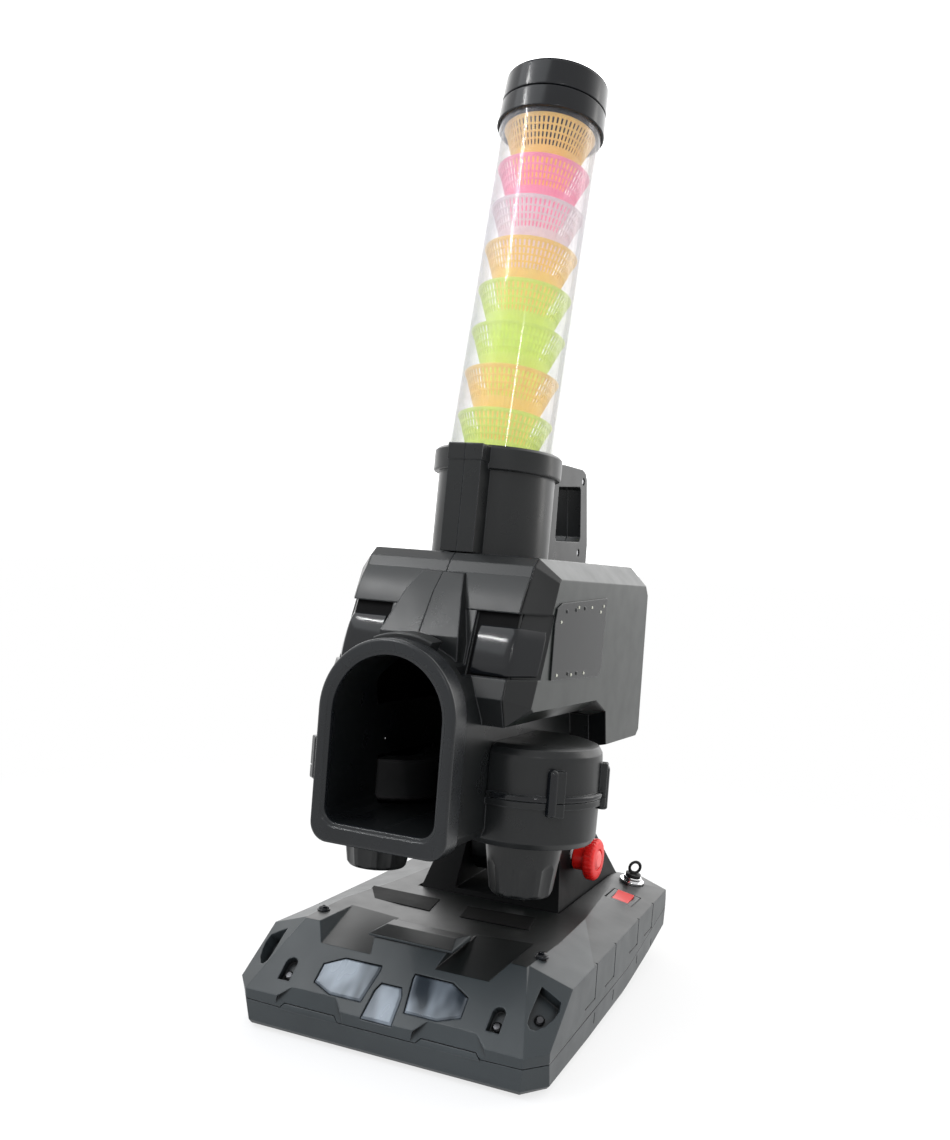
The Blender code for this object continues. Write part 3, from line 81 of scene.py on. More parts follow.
def rgb(red, green, blue):
    """A colour given in display values from 0 to 255, as the renderer's linear colour."""
    linear = []
    for value in (red, green, blue):
        share = value / 255.0
        linear.append(share / 12.92 if share <= 0.04045 else ((share + 0.055) / 1.055) ** 2.4)
    return (linear[0], linear[1], linear[2], 1.0)


WHITE = (1.0, 1.0, 1.0, 1.0)
NO_LIGHT = (0.0, 0.0, 0.0, 1.0)
SAMPLES = 6

# Stretches of a noise's values, most of which lie near its middle
MIDDLE = (0.3, 0.7)
MIDDLE_HALF = (0.25, 0.75)


class Graph:
    """Short ways to add nodes to a tree; an input takes a socket to link or a value to hold."""

    def __init__(self, tree):
        self.tree = tree

    def put(self, socket, source):
        if hasattr(source, "is_linked"):
            self.tree.links.new(source, socket)
        else:
            socket.default_value = source

    def add(self, kind, links=(), **values):
        node = self.tree.nodes.new(kind)
        for key, value in values.items():
            setattr(node, key, value)
        for socket, source in links:
            self.put(node.inputs[socket], source)
        return node

    def span(self, source, low, high, start=0.0, end=1.0, kind="LINEAR"):
        """Spreads the stretch of a value from start to end over the range from low to high."""
        links = [("Value", source), ("From Min", start), ("From Max", end),
                 ("To Min", low), ("To Max", high)]
        return self.add("ShaderNodeMapRange", links, interpolation_type=kind).outputs["Result"]

    def mixed(self, share, first, second):
        links = [(0, share), (6, first), (7, second)]
        return self.add("ShaderNodeMix", links, data_type="RGBA").outputs[2]

    def maths(self, operation, first, second):
        links = [(0, first), (1, second)]
        return self.add("ShaderNodeMath", links, operation=operation).outputs["Value"]

    def seen(self):
        """1 for rays that look at a thing, also mirrored or through a surface, and 0 for other light."""
        path = self.add("ShaderNodeLightPath").outputs
        direct = self.maths("MAXIMUM", path["Is Camera Ray"], path["Is Transmission Ray"])
        return self.maths("MAXIMUM", direct, path["Is Glossy Ray"])


EDGE_TURN = (0.97, 0.8)


class Look(Graph):
    """A node material under construction: its tree, its shader and its place on the machine."""

    def __init__(self, name):
        self.material = bpy.data.materials.new(name)
        self.material.use_nodes = True
        super().__init__(self.material.node_tree)
        self.shader = self.tree.nodes["Principled BSDF"]
        self.place = self.add("ShaderNodeTexCoord").outputs["Object"]

    def set(self, socket, source):
        self.put(self.shader.inputs[socket], source)

    def noise(self, scale, detail=2.0):
        links = [("Vector", self.place), ("Scale", scale), ("Detail", detail)]
        return self.add("ShaderNodeTexNoise", links).outputs["Fac"]

    def dotted(self, first, second):
        links = [(0, first), (1, second)]
        return self.add("ShaderNodeVectorMath", links, operation="DOT_PRODUCT").outputs["Value"]

    def rounded(self, radius):
        return self.add("ShaderNodeBevel", [("Radius", radius)], samples=SAMPLES).outputs["Normal"]

    def edges(self, radius):
        """Where the surface turns a corner: 0 on the flat, 1 on an edge."""
        flat = self.add("ShaderNodeNewGeometry").outputs["Normal"]
        return self.span(self.dotted(self.rounded(radius), flat), 0.0, 1.0, *EDGE_TURN)

    def bump(self, height, strength, distance, normal=None):
        links = [("Height", height), ("Strength", strength), ("Distance", distance)]
        if normal is not None:
            links.append(("Normal", normal))
        return self.add("ShaderNodeBump", links).outputs["Normal"]


BLOTCHES = 16.0
FLECKS = 420.0
SCUFFED = (0.3, 1.0, 0.35, 0.65)
SHEEN_PATCHES = 55.0
GRAIN_DEPTH = 0.00012
PLASTIC_SHINE = 0.34
HOLLOW = (0.35, 0.85)


def moulded(name, tones, rough=(0.34, 0.5), grain=1400.0, relief=0.12, edge=0.0009, wear=0.3,
            shine=PLASTIC_SHINE):
    """Moulded plastic in three tones: blotches from dark to light, and corners rubbed to the worn one."""
    dark, light, worn = (rgb(*tone) for tone in tones)
    look = Look(name)
    colour = look.mixed(look.span(look.noise(BLOTCHES, 3.0), 0.0, 1.0, *MIDDLE), dark, light)
    scuff = look.maths("MULTIPLY", look.edges(edge), look.span(look.noise(FLECKS), *SCUFFED))
    look.set("Base Color", look.mixed(look.maths("MULTIPLY", scuff, wear), colour, worn))
    look.set("Roughness", look.span(look.noise(SHEEN_PATCHES, 4.0), *rough, *MIDDLE_HALF))
    look.set("Normal", look.bump(look.noise(grain), relief, GRAIN_DEPTH, look.rounded(edge)))
    look.set("Specular IOR Level", shine)
    return look


def turned_dark(look, way, stretch, dark):
    """Darkens the faces that face one way, such as the cover's front chamfers; on the deck, which faces up,
    the darkening is painted shade.
    """
    normal = look.add("ShaderNodeTexCoord").outputs["Normal"]
    before = look.shader.inputs["Base Color"].links[0].from_socket
    share = look.span(look.dotted(normal, way), 0.0, 1.0, *stretch)
    look.set("Base Color", look.mixed(share, before, dark))
    return look


def hollowed(look, reach):
    """Darkens grooves and inner corners narrower than the reach, where little light gets in."""
    shade = look.add("ShaderNodeAmbientOcclusion", [("Distance", reach)], samples=SAMPLES).outputs["AO"]
    before = look.shader.inputs["Base Color"].links[0].from_socket
    look.set("Base Color", look.mixed(look.span(shade, 0.0, 1.0, *HOLLOW), NO_LIGHT, before))
    return look


METAL_STREAKS = 240.0
METAL_PATCHES = 90.0
METAL_DEEP = 0.82
METAL_RELIEF = 0.08
METAL_EDGE = 0.0004
FINE_DEPTH = 0.0001


def plain_metal(name, tone, rough=(0.16, 0.34)):
    """Bare metal with fine streaks that are a little darker than its tone."""
    look = Look(name)
    streak = look.noise(METAL_STREAKS, 4.0)
    deep = tuple(value * METAL_DEEP for value in tone) + (1.0,)
    look.set("Base Color", look.mixed(look.span(streak, 0.0, 1.0, *MIDDLE), tone + (1.0,), deep))
    look.set("Metallic", 1.0)
    look.set("Roughness", look.span(look.noise(METAL_PATCHES, 3.0), *rough, *MIDDLE_HALF))
    look.set("Normal", look.bump(streak, METAL_RELIEF, FINE_DEPTH, look.rounded(METAL_EDGE)))
    return look.material


RIM_TURN = 0.32
DUST_SPECKS = 180.0
DUST = (0.0, 0.05, 0.45, 0.8)
CLOUDS = 9.0
CLOUDED = 0.15
SMEARS = 60.0
SMEARED = 0.06
RIPPLES = 35.0
RIPPLE_RELIEF = 0.012
RIPPLE_DEPTH = 0.0004
CLEAR_SHINE = 0.9


def clear_plastic(name, tone, centre, rim, rough):
    """See-through plastic: faint in the middle of a curve, denser where it turns away, with fine dust."""
    look = Look(name)
    facing = look.add("ShaderNodeLayerWeight", [("Blend", RIM_TURN)]).outputs["Facing"]
    dust = look.span(look.noise(DUST_SPECKS, 5.0), *DUST)
    look.set("Alpha", look.maths("ADD", look.span(facing, centre, rim, 0.1, 1.0), dust))
    cloud = look.span(look.noise(CLOUDS), 0.0, CLOUDED, *MIDDLE)
    look.set("Base Color", look.mixed(cloud, rgb(*tone), WHITE))
    look.set("Roughness", look.span(look.noise(SMEARS, 3.0), rough, rough + SMEARED, *MIDDLE))
    look.set("Normal", look.bump(look.noise(RIPPLES), RIPPLE_RELIEF, RIPPLE_DEPTH))
    look.set("Specular IOR Level", CLEAR_SHINE)
    return look.material


LENS_STRETCH = (1.0, 0.35, 0.6)
LENS_REFLECTION_STREAKS = 46.0
LENS_EDGED = (0.4, 0.62)
LENS_SHEEN = (0.12, 0.3)
LENS_METAL = 0.2
LENS_WAVES = 28.0
LENS_RELIEF = 0.2
LENS_DEPTH = 0.002
LENS_EDGE = 0.001


def lens_with_painted_reflection(name, dark, light):
    """Clear window over a silvered bowl: bluish grey, with soft bright streaks painted in as the bowl's
    reflection.
    """
    look = Look(name)
    stretched = look.add("ShaderNodeMapping", [("Vector", look.place), ("Scale", LENS_STRETCH)])
    links = [("Vector", stretched.outputs["Vector"]), ("Scale", LENS_REFLECTION_STREAKS), ("Detail", 2.0)]
    streak = look.add("ShaderNodeTexNoise", links).outputs["Fac"]
    # Painted reflection: bright streaks in the colour stand for the silvered bowl's reflections
    look.set("Base Color", look.mixed(look.span(streak, 0.0, 1.0, *LENS_EDGED), rgb(*dark), rgb(*light)))
    look.set("Metallic", LENS_METAL)
    look.set("Roughness", look.span(streak, *LENS_SHEEN, *MIDDLE))
    wave = look.noise(LENS_WAVES, 1.0)
    look.set("Normal", look.bump(wave, LENS_RELIEF, LENS_DEPTH, look.rounded(LENS_EDGE)))
    return look.material


SKIRT_STREAKS = 130.0
SKIRT_DEEP = 0.6
SKIRT_PATCHES = 300.0
SKIRT_SHEEN = (0.38, 0.55)
SKIRT_SCATTER = 0.3
SCATTER_REACH = (0.004, 0.004, 0.004)
SKIRT_PAINTED_GLOW = 0.32
SKIRT_COVER = 0.74
SKIRT_GRAIN = 800.0
SKIRT_RELIEF = 0.1


def bright_skirt(name, tone, deep):
    """Thin coloured nylon that light passes into, with streaks of its deeper tone, and a painted glow of
    its own tone.
    """
    look = Look(name)
    streak = look.span(look.noise(SKIRT_STREAKS, 3.0), 0.0, SKIRT_DEEP, *MIDDLE)
    look.set("Base Color", look.mixed(streak, rgb(*tone), rgb(*deep)))
    look.set("Roughness", look.span(look.noise(SKIRT_PATCHES), *SKIRT_SHEEN, *MIDDLE))
    look.set("Subsurface Weight", SKIRT_SCATTER)
    look.set("Subsurface Radius", SCATTER_REACH)
    # Painted glow: the skirt emits light of its own tone, though it is no lamp
    look.set("Emission Color", rgb(*tone))
    look.set("Emission Strength", SKIRT_PAINTED_GLOW)
    look.set("Alpha", SKIRT_COVER)
    look.set("Normal", look.bump(look.noise(SKIRT_GRAIN), SKIRT_RELIEF, FINE_DEPTH))
    return look.material


RUBBED = (92, 96, 100)
TO_FRONT = (0.0, -1.0, 0.0)
UPWARDS = (0.0, 0.0, 1.0)

BLACK = moulded("moulded_black", [(20, 22, 23), (27, 28, 28), RUBBED], (0.26, 0.34), edge=0.0013).material
BEZEL = moulded("bezel_black", [(22, 24, 26), (29, 31, 33), RUBBED], (0.24, 0.3)).material
# Near-black for the visor wells and the deck wells: painted shade of recesses
PAINTED_SHADE = moulded("shadowed_black", [(5, 5, 6), (8, 8, 9), (16, 16, 18)], (0.6, 0.7), shine=0.1).material
# Painted shade: the tower's tones are darker than the other black plastic, as it stands in shade under the
# head
TOWER_PAINTED_SHADE = moulded("tower_black_painted_shade", [(9, 10, 11), (13, 14, 15), (40, 42, 44)], (0.46, 0.56), shine=0.15).material
PLATE = moulded("plate_black", [(22, 24, 25), (28, 30, 31), (60, 62, 62)], (0.16, 0.22), shine=0.2).material
SOFT_GLOSS = moulded("soft_gloss_black", [(9, 11, 14), (13, 15, 19), (92, 96, 104)], (0.15, 0.2),
                     relief=0.03).material
GLOSS = moulded("polished_black", [(12, 14, 17), (17, 19, 22), (96, 100, 106)], (0.08, 0.14),
                relief=0.02).material
COVER_LOOK = moulded("satin_cover_grey", [(35, 40, 38), (43, 47, 45), (116, 118, 114)], (0.3, 0.38),
                     edge=0.0014)
GREY = turned_dark(COVER_LOOK, TO_FRONT, (0.3, 0.36), rgb(13, 15, 16)).material
BASE_LOOK = moulded("base_black", [(42, 47, 49), (51, 56, 58), (112, 118, 122)], (0.34, 0.42), edge=0.0013,
                    shine=0.35)
# Painted shade: faces turned up, such as the deck under the head, are darkened, and so are grooves and
# inner corners
BASE = hollowed(turned_dark(BASE_LOOK, UPWARDS, (0.96, 0.985), rgb(22, 24, 24)), 0.006).material
DOTS = moulded("rivet_dots", [(196, 196, 180), (222, 222, 206), (240, 240, 230)]).material
RED = moulded("red_knob_plastic", [(222, 22, 22), (236, 36, 30), (255, 120, 110)], (0.28, 0.42)).material
PINK = moulded("pink_inset_plastic", [(244, 96, 96), (250, 122, 118), (255, 200, 195)]).material
RUBBER = moulded("soft_rubber", [(20, 20, 21), (32, 32, 33), (32, 32, 33)], (0.55, 0.75), grain=900.0,
                 relief=0.3, wear=0.2).material
BOARD = moulded("circuit_board_green", [(16, 70, 42), (24, 92, 56), (150, 160, 90)]).material
WRAP = moulded("battery_wrap_blue", [(28, 64, 122), (36, 76, 140), (120, 150, 200)], (0.2, 0.3)).material
CORK = moulded("cork_base", [(210, 190, 150), (226, 206, 168), (240, 230, 200)], (0.6, 0.8),
               relief=0.5).material
STEEL = plain_metal("turned_steel", (0.5, 0.5, 0.52))
DULL_STEEL = plain_metal("blackened_steel", (0.08, 0.08, 0.085), (0.3, 0.45))
CHROME = plain_metal("bright_chrome", (0.83, 0.83, 0.84), (0.05, 0.16))
CLEAR = clear_plastic("clear_tube_plastic", (150, 150, 156), 0.14, 0.72, 0.045)
LENS = lens_with_painted_reflection("lens_painted_reflection", (44, 50, 56), (116, 124, 132))
AMBER = bright_skirt("nylon_amber", (250, 212, 116), (240, 190, 92))
ROSE = bright_skirt("nylon_rose", (255, 162, 194), (250, 130, 172))
BLUSH = bright_skirt("nylon_blush", (238, 224, 228), (232, 208, 216))
ORANGE = bright_skirt("nylon_orange", (252, 218, 122), (248, 194, 96))
LIME = bright_skirt("nylon_lime", (224, 240, 116), (214, 234, 96))


# Mesh helpers

CREASE = 30.0
WELD = 0.01
SLIVER = 0.03
SEAM_WELD = 0.002


def add_piece(name, mesh, material, body, replaces=()):
    piece = bpy.data.objects.new(name, mesh)
    bpy.context.scene.collection.objects.link(piece)
    piece.data.materials.clear()
    piece.data.materials.append(material)
    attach(piece, body)
    if replaces:
        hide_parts(*replaces)
    return piece


def smooth_mesh(mesh, angle):
    for name in ("custom_normal", "sharp_face", "sharp_edge"):
        if name in mesh.attributes:
            mesh.attributes.remove(mesh.attributes[name])
    mesh.polygons.foreach_set("use_smooth", [True] * len(mesh.polygons))
    mesh.set_sharp_from_angle(angle=math.radians(angle))
    mesh.update()


def weighted(piece):
    modifier = piece.modifiers.new("weighted", "WEIGHTED_NORMAL")
    modifier.keep_sharp = True


def mesh_from(name, verts, faces, matrix, angle, weld=0.0):
    """A mesh of points in a frame, with its faces turned outwards and smooth up to an angle in degrees."""
    mesh = bpy.data.meshes.new(name)
    mesh.from_pydata([matrix @ Vector(vert) for vert in verts], [], faces)
    bm = bmesh.new()
    bm.from_mesh(mesh)
    if weld:
        bmesh.ops.remove_doubles(bm, verts=bm.verts, dist=weld * MM)
    bmesh.ops.recalc_face_normals(bm, faces=bm.faces)
    bm.to_mesh(mesh)
    bm.free()
    smooth_mesh(mesh, angle)
    return mesh


def turned(name, profile, matrix, steps):
    """A closed profile of (radius, height) in millimetres, turned round the frame's Z."""
    verts = []
    faces = []
    count = len(profile)
    for step in range(steps):
        turn = 2.0 * math.pi * step / steps
        here = step * count
        there = ((step + 1) % steps) * count
        for radius, height in profile:
            verts.append((radius * math.cos(turn), radius * math.sin(turn), height))
        for index in range(count):
            after = (index + 1) % count
            faces.append((here + index, there + index, there + after, here + after))
    return mesh_from(name, verts, faces, matrix, CREASE, SEAM_WELD)


def lofted(name, rings, matrix, angle=CREASE):
    """Closed skin through rings of equal point counts, with an end face on the first and the last."""
    count = len(rings[0])
    verts = [point for ring in rings for point in ring]
    faces = [list(range(count)), list(range(len(verts) - count, len(verts)))]
    for row in range(len(rings) - 1):
        here = row * count
        for index in range(count):
            after = (index + 1) % count
            faces.append((here + index, here + after, here + count + after, here + count + index))
    return mesh_from(name, verts, faces, matrix, angle)


def bevel_edges(bm, chosen, width, segments):
    edges = [edge for edge in bm.edges if len(edge.link_faces) == 2
             and edge.calc_face_angle() > math.radians(CREASE) and chosen(edge)]
    bmesh.ops.bevel(bm, geom=edges, offset=width * MM, offset_type="OFFSET", segments=segments, profile=0.5,
                    affect="EDGES", clamp_overlap=True)


def refined(node, material, sharp, work=None):
    """A welded copy of a node, shaded smooth over its curves and crisp along its creases."""
    bm = bmesh.new()
    bm.from_mesh(NODES[node].data)
    bmesh.ops.remove_doubles(bm, verts=bm.verts, dist=WELD * MM)
    bmesh.ops.dissolve_degenerate(bm, edges=bm.edges, dist=SLIVER * MM)
    if work:
        work(bm)
    mesh = bpy.data.meshes.new(node + "_skin")
    bm.to_mesh(mesh)
    bm.free()
    smooth_mesh(mesh, sharp)
    weighted(add_piece(node + "_skin", mesh, material, NODES[node]["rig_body"], [node]))


# Edges of the head shells and lenses that are rounded by more than a crease

BEZEL_Y = -232.0
BEZEL_DEEP = 17.0
MOUTH_HALF = 39.0
MOUTH_LOW = 50.5
MOUTH_SPRING = 121.0
INTO_HEAD = HEAD.inverted()
FACE_SLACK = 0.05
SEAM_SLACK = 0.3
FLAT = 0.5
OUTER_RIM = (5.0, 20.0)
OUTER_ROUND = 3.4
INNER_RIM = (-3.0, 3.0)
INNER_ROUND = 1.2


def outside_mouth(point):
    """How far a point of the head lies outside the mouth's outline, in millimetres."""
    if point.z > MOUTH_SPRING:
        return math.hypot(point.x, point.z - MOUTH_SPRING) - MOUTH_HALF
    return max(abs(point.x) - MOUTH_HALF, MOUTH_LOW - point.z)


def on_bezel_face(edge, low, high):
    ends = [INTO_HEAD @ vert.co for vert in edge.verts]
    if any(end.y > BEZEL_Y + FACE_SLACK for end in ends) or all(abs(end.x) < SEAM_SLACK for end in ends):
        return False
    return all(low < outside_mouth(end) < high for end in ends)


def round_bezel(bm):
    near = [vert for vert in bm.verts if (INTO_HEAD @ vert.co).y < BEZEL_Y + BEZEL_DEEP]
    chosen = set(near)
    edges = [edge for edge in bm.edges if edge.verts[0] in chosen and edge.verts[1] in chosen]
    bmesh.ops.dissolve_limit(bm, angle_limit=math.radians(FLAT), verts=near, edges=edges)
    bevel_edges(bm, lambda edge: on_bezel_face(edge, *OUTER_RIM), OUTER_ROUND, 3)
    bevel_edges(bm, lambda edge: on_bezel_face(edge, *INNER_RIM), INNER_ROUND, 2)


SLOPE_FOOT = Vector((0.0, -154.55, 29.0))
SLOPE_OUT = Vector((0.0, -37.5, 45.4)).normalized()
LENS_PROUD = 0.4
LENS_CHAMFER = 1.3


def on_lens_face(edge):
    return all((vert.co / MM - SLOPE_FOOT).dot(SLOPE_OUT) > LENS_PROUD for vert in edge.verts)


def chamfer_lens(bm):
    bevel_edges(bm, on_lens_face, LENS_CHAMFER, 1)


# The clear tube and its cap, in the tube's frame

# Profiles that are turned end this close to their axis
AXIS = 0.01

TUBE_IN_R = 36.6
TUBE_OUT_R = 39.0
TUBE_TOP = 252.4
TUBE_BOTTOM = -51.9
TUBE_EDGE = 0.4
TUBE_STEPS = 96
CAP_RIM = 214.0
CAP_HEIGHT = 41.0
CAP_TOP = CAP_RIM + CAP_HEIGHT
CAP_GROOVE = CAP_RIM + CAP_HEIGHT * 0.42
CAP_OUT_R = 40.5
CAP_TAPER = 0.7
CAP_NARROW = CAP_OUT_R - CAP_TAPER
CAP_WIDE = CAP_OUT_R + CAP_TAPER
CAP_BORE = TUBE_OUT_R + 0.3
CAP_STEPS = 128
CAP_CROWN = [(AXIS, CAP_TOP - 0.4), (CAP_NARROW - 5.5, CAP_TOP - 0.1),
             (CAP_NARROW - 3.6, CAP_TOP - 0.4), (CAP_NARROW - 1.8, CAP_TOP - 1.2),
             (CAP_NARROW - 0.6, CAP_TOP - 2.5), (CAP_NARROW, CAP_TOP - 4.2)]
CAP_WAIST = [(CAP_OUT_R - 0.1, CAP_GROOVE + 1.2), (CAP_OUT_R - 0.4, CAP_GROOVE + 0.7),
             (CAP_OUT_R - 1.2, CAP_GROOVE + 0.4), (CAP_OUT_R - 1.2, CAP_GROOVE - 0.3),
             (CAP_OUT_R - 0.2, CAP_GROOVE - 0.6), (CAP_OUT_R + 0.1, CAP_GROOVE - 1.2)]
CAP_FOOT = [(CAP_WIDE, CAP_RIM + 0.6), (CAP_WIDE - 0.5, CAP_RIM), (CAP_BORE + 0.3, CAP_RIM),
            (CAP_BORE, CAP_RIM + 0.4), (CAP_BORE, TUBE_TOP + 0.3), (AXIS, TUBE_TOP + 0.3)]


def make_tube():
    low = TUBE_BOTTOM + TUBE_EDGE
    high = TUBE_TOP - TUBE_EDGE
    inner = TUBE_IN_R + TUBE_EDGE
    outer = TUBE_OUT_R - TUBE_EDGE
    profile = [(TUBE_IN_R, high), (inner, TUBE_TOP), (outer, TUBE_TOP), (TUBE_OUT_R, high),
               (TUBE_OUT_R, low), (outer, TUBE_BOTTOM), (inner, TUBE_BOTTOM), (TUBE_IN_R, low)]
    mesh = turned("tube_wall", profile, TUBE, TUBE_STEPS)
    weighted(add_piece("tube_wall", mesh, CLEAR, "feed_tube", ["tube"]))


def make_cap():
    mesh = turned("cap_shell", CAP_CROWN + CAP_WAIST + CAP_FOOT, TUBE, CAP_STEPS)
    weighted(add_piece("cap_shell", mesh, SOFT_GLOSS, "cap", ["tube_cap"]))


# The stacked practice shuttles, in the tube's frame

SHUTTLES = [(LIME, "shuttle_lime"), (LIME, "shuttle_lime"), (ORANGE, "shuttle_orange"),
            (LIME, "shuttle_lime"), (LIME, "shuttle_lime"), (ORANGE, "shuttle_orange"),
            (BLUSH, "shuttle_blush"), (ROSE, "shuttle_rose"), (AMBER, "shuttle_amber")]
SHUTTLE_LENGTH = 85.0
SHUTTLE_PITCH = 32.7
TOP_RIM = 212.5
SKIRT_R = 34.4
SKIRT_FLARE = 0.7
FLARE_DEPTH = 5.0
SKIRT_SLOPE = 0.39
SKIRT_WALL = 0.7
SKIRT_END = 58.0
SKIRT_CURVE = 40.0
RIBS = 60
SLOT_SHARE = 0.44
SLOT_ROWS = [(2.6, 6.6), (7.8, 11.6), (12.8, 16.4), (17.6, 21.2)]
SKIRT_LEVELS = [0.0] + [level for row in SLOT_ROWS for level in row] + [32.0, 44.0, SKIRT_END]
CORK_R = 13.0
CORK_GAP = 0.2
CORK_LIP = 2.0
CORK_ROUND = 0.6
CORK_ARC = 8
CORK_STEPS = 40


def skirt_radius(depth):
    """The skirt narrows evenly from its rim until it meets the cork, with a slight flare at the rim."""
    flare = SKIRT_FLARE * max(0.0, 1.0 - depth / FLARE_DEPTH) ** 2
    return max(SKIRT_R - SKIRT_FLARE + flare - SKIRT_SLOPE * depth, CORK_R + CORK_GAP)


def skirt_mesh(name, rim):
    """A skirt that hangs from its rim, with rows of slots between its ribs."""
    columns = RIBS * 2
    verts = []
    for depth in SKIRT_LEVELS:
        radius = skirt_radius(depth)
        for column in range(columns):
            turn = 2.0 * math.pi * (column // 2 + SLOT_SHARE * (column % 2)) / RIBS
            verts.append((radius * math.cos(turn), radius * math.sin(turn), rim - depth))
    faces = []
    for row in range(len(SKIRT_LEVELS) - 1):
        middle = (SKIRT_LEVELS[row] + SKIRT_LEVELS[row + 1]) / 2.0
        slotted = any(low < middle < high for low, high in SLOT_ROWS)
        here = row * columns
        there = here + columns
        for column in range(columns):
            after = (column + 1) % columns
            if not slotted or column % 2 == 1:
                faces.append((here + column, here + after, there + after, there + column))
    return mesh_from(name, verts, faces, TUBE, SKIRT_CURVE)


def cork_mesh(name, rim):
    """A cork that starts inside the skirt's narrow end and closes with a half ball."""
    seat = rim - SKIRT_END
    low = rim - SHUTTLE_LENGTH
    profile = [(AXIS, seat + CORK_LIP), (CORK_R - 2.0 * CORK_ROUND, seat + CORK_LIP),
               (CORK_R - CORK_ROUND, seat), (CORK_R, seat - CORK_LIP), (CORK_R, low + CORK_R)]
    for step in range(1, CORK_ARC + 1):
        turn = math.pi / 2.0 * step / CORK_ARC
        profile.append((max(CORK_R * math.cos(turn), AXIS), low + CORK_R * (1.0 - math.sin(turn))))
    return turned(name, profile, TUBE, CORK_STEPS)


def make_shuttles():
    for index, (material, slot) in enumerate(SHUTTLES):
        node = "shuttle_%d" % (index + 1)
        rim = TOP_RIM - SHUTTLE_PITCH * (len(SHUTTLES) - 1 - index)
        mesh = skirt_mesh(node + "_skirt", rim)
        skirt = add_piece(node + "_skirt", mesh, material, "shuttles", [node])
        wall = skirt.modifiers.new("wall", "SOLIDIFY")
        wall.thickness = SKIRT_WALL * MM
        wall.offset = -1.0
        add_piece(node + "_cork", cork_mesh(node + "_cork", rim), CORK, "shuttles")


# Visor panels in the band round the head's front corners, in the head's frame

BAND_LOW = 148.6
BAND_HIGH = 190.5
BAND_FRONT = -189.1
BAND_RUN = 14.4
CORNER_X = 61.15
CORNER_TURN = 0.52
COVER_FACE = 75.0
BAND_END = -169.3
BAND_END_RUN = 17.8
END_INWARD = Vector((-0.859, 0.513))
END_SETBACK = 1.4
PANEL_START = 35.0
PANEL_CURVE = 50.0
PANEL_PROFILE = [(150.0, 2.6), (150.2, 1.5), (150.9, 0.8), (152.2, 0.45), (157.0, 0.15), (163.0, 0.0),
                 (169.0, 0.1), (173.5, 0.35), (176.0, 0.7), (178.0, 1.2), (179.6, 1.8), (180.6, 2.3),
                 (181.2, 2.75), (181.2, 2.9), (150.0, 2.9)]
PANEL_STATIONS = [(0.0, 0.0), (0.4, 0.0), (0.8, 0.0), (0.92, 0.08), (0.98, 0.3), (1.02, 0.3), (1.1, 0.08),
                  (1.3, 0.0), (2.0, 0.0)]
WELL_PROFILE = [(149.2, 2.85), (190.0, 2.85), (190.0, 3.3), (149.2, 3.3)]
WELL_STATIONS = [(-0.12, 0.0), (1.0, 0.0), (2.05, 0.0)]


def band_point(station, z, offset):
    """A point of the band's plan at a height: station 0 is its start, 1 the corner, 2 the far end."""
    share = (z - BAND_LOW) / (BAND_HIGH - BAND_LOW)
    front = BAND_FRONT + share * BAND_RUN + offset
    start = Vector((PANEL_START, front))
    corner = Vector((CORNER_X - offset * CORNER_TURN, front))
    end = Vector((COVER_FACE, BAND_END + share * BAND_END_RUN)) + END_INWARD * (offset + END_SETBACK)
    if station <= 1.0:
        return start.lerp(corner, station)
    return corner.lerp(end, station - 1.0)


def band_rings(side, stations, profile):
    """A profile of (height, offset) laid round the band at stations, each with a setback of its own."""
    rings = []
    for station, setback in stations:
        places = [(band_point(station, z, offset + setback), z) for z, offset in profile]
        rings.append([(side * place.x, place.y, z) for place, z in places])
    return rings


def make_visor(side, tag):
    """Bowed glossy panel of one visor, in front of a dark well that is painted shade of the recess."""
    node = "visor_" + tag
    panel = lofted(node + "_panel", band_rings(side, PANEL_STATIONS, PANEL_PROFILE), HEAD, PANEL_CURVE)
    add_piece(node + "_panel", panel, GLOSS, "head", [node])
    well = lofted(node + "_well", band_rings(side, WELL_STATIONS, WELL_PROFILE), HEAD)
    add_piece(node + "_well", well, PAINTED_SHADE, "head")


# Small fittings

TO_X = Matrix.Rotation(math.pi / 2, 4, "Y")
DOME = [(AXIS, 0.75), (0.6, 0.68), (1.05, 0.35), (1.2, -0.3), (AXIS, -0.3)]
DOME_STEPS = 12
PAN_HEAD = [(AXIS, 1.5), (1.0, 1.5), (1.2, 2.6), (2.6, 2.3), (3.6, 1.5), (3.9, 0.5), (4.6, 0.35),
            (4.7, -0.6), (AXIS, -0.6)]
SCREW_STEPS = 24
PLATE_FACE = 76.2
DOT_SPOTS = [(-104.9, 195.7), (-77.3, 195.6), (-51.0, 196.5), (-138.0, 186.0), (-57.2, 192.4),
             (-139.4, 150.6), (-111.2, 149.6), (-85.4, 149.4)]
DECK_SCREWS = [(-82.0, -87.15, 66.3), (84.4, -86.75, 66.3)]
TUNNEL_SCREWS = [(-38.8, -156.2, 95.7), (-38.8, -136.5, 48.1)]
DECK_Y = -35.0
DECK_Z = 62.92
DECK_SLOPE = -0.048
DECK_PANEL = (-0.6, 0.5)
DECK_WELLS = [("left", [(-84.3, -10.1), (-27.7, -10.0), (-20.7, -41.4), (-76.0, -38.6)]),
              ("right", [(-3.4, -13.0), (48.6, -7.5), (55.7, -38.8), (3.1, -40.7)])]


def make_dots():
    for index, (y, z) in enumerate(DOT_SPOTS):
        name = "plate_dot_%d" % (index + 1)
        place = HEAD @ Matrix.Translation((PLATE_FACE, y, z)) @ TO_X
        add_piece(name, turned(name, DOME, place, DOME_STEPS), DOTS, "head")


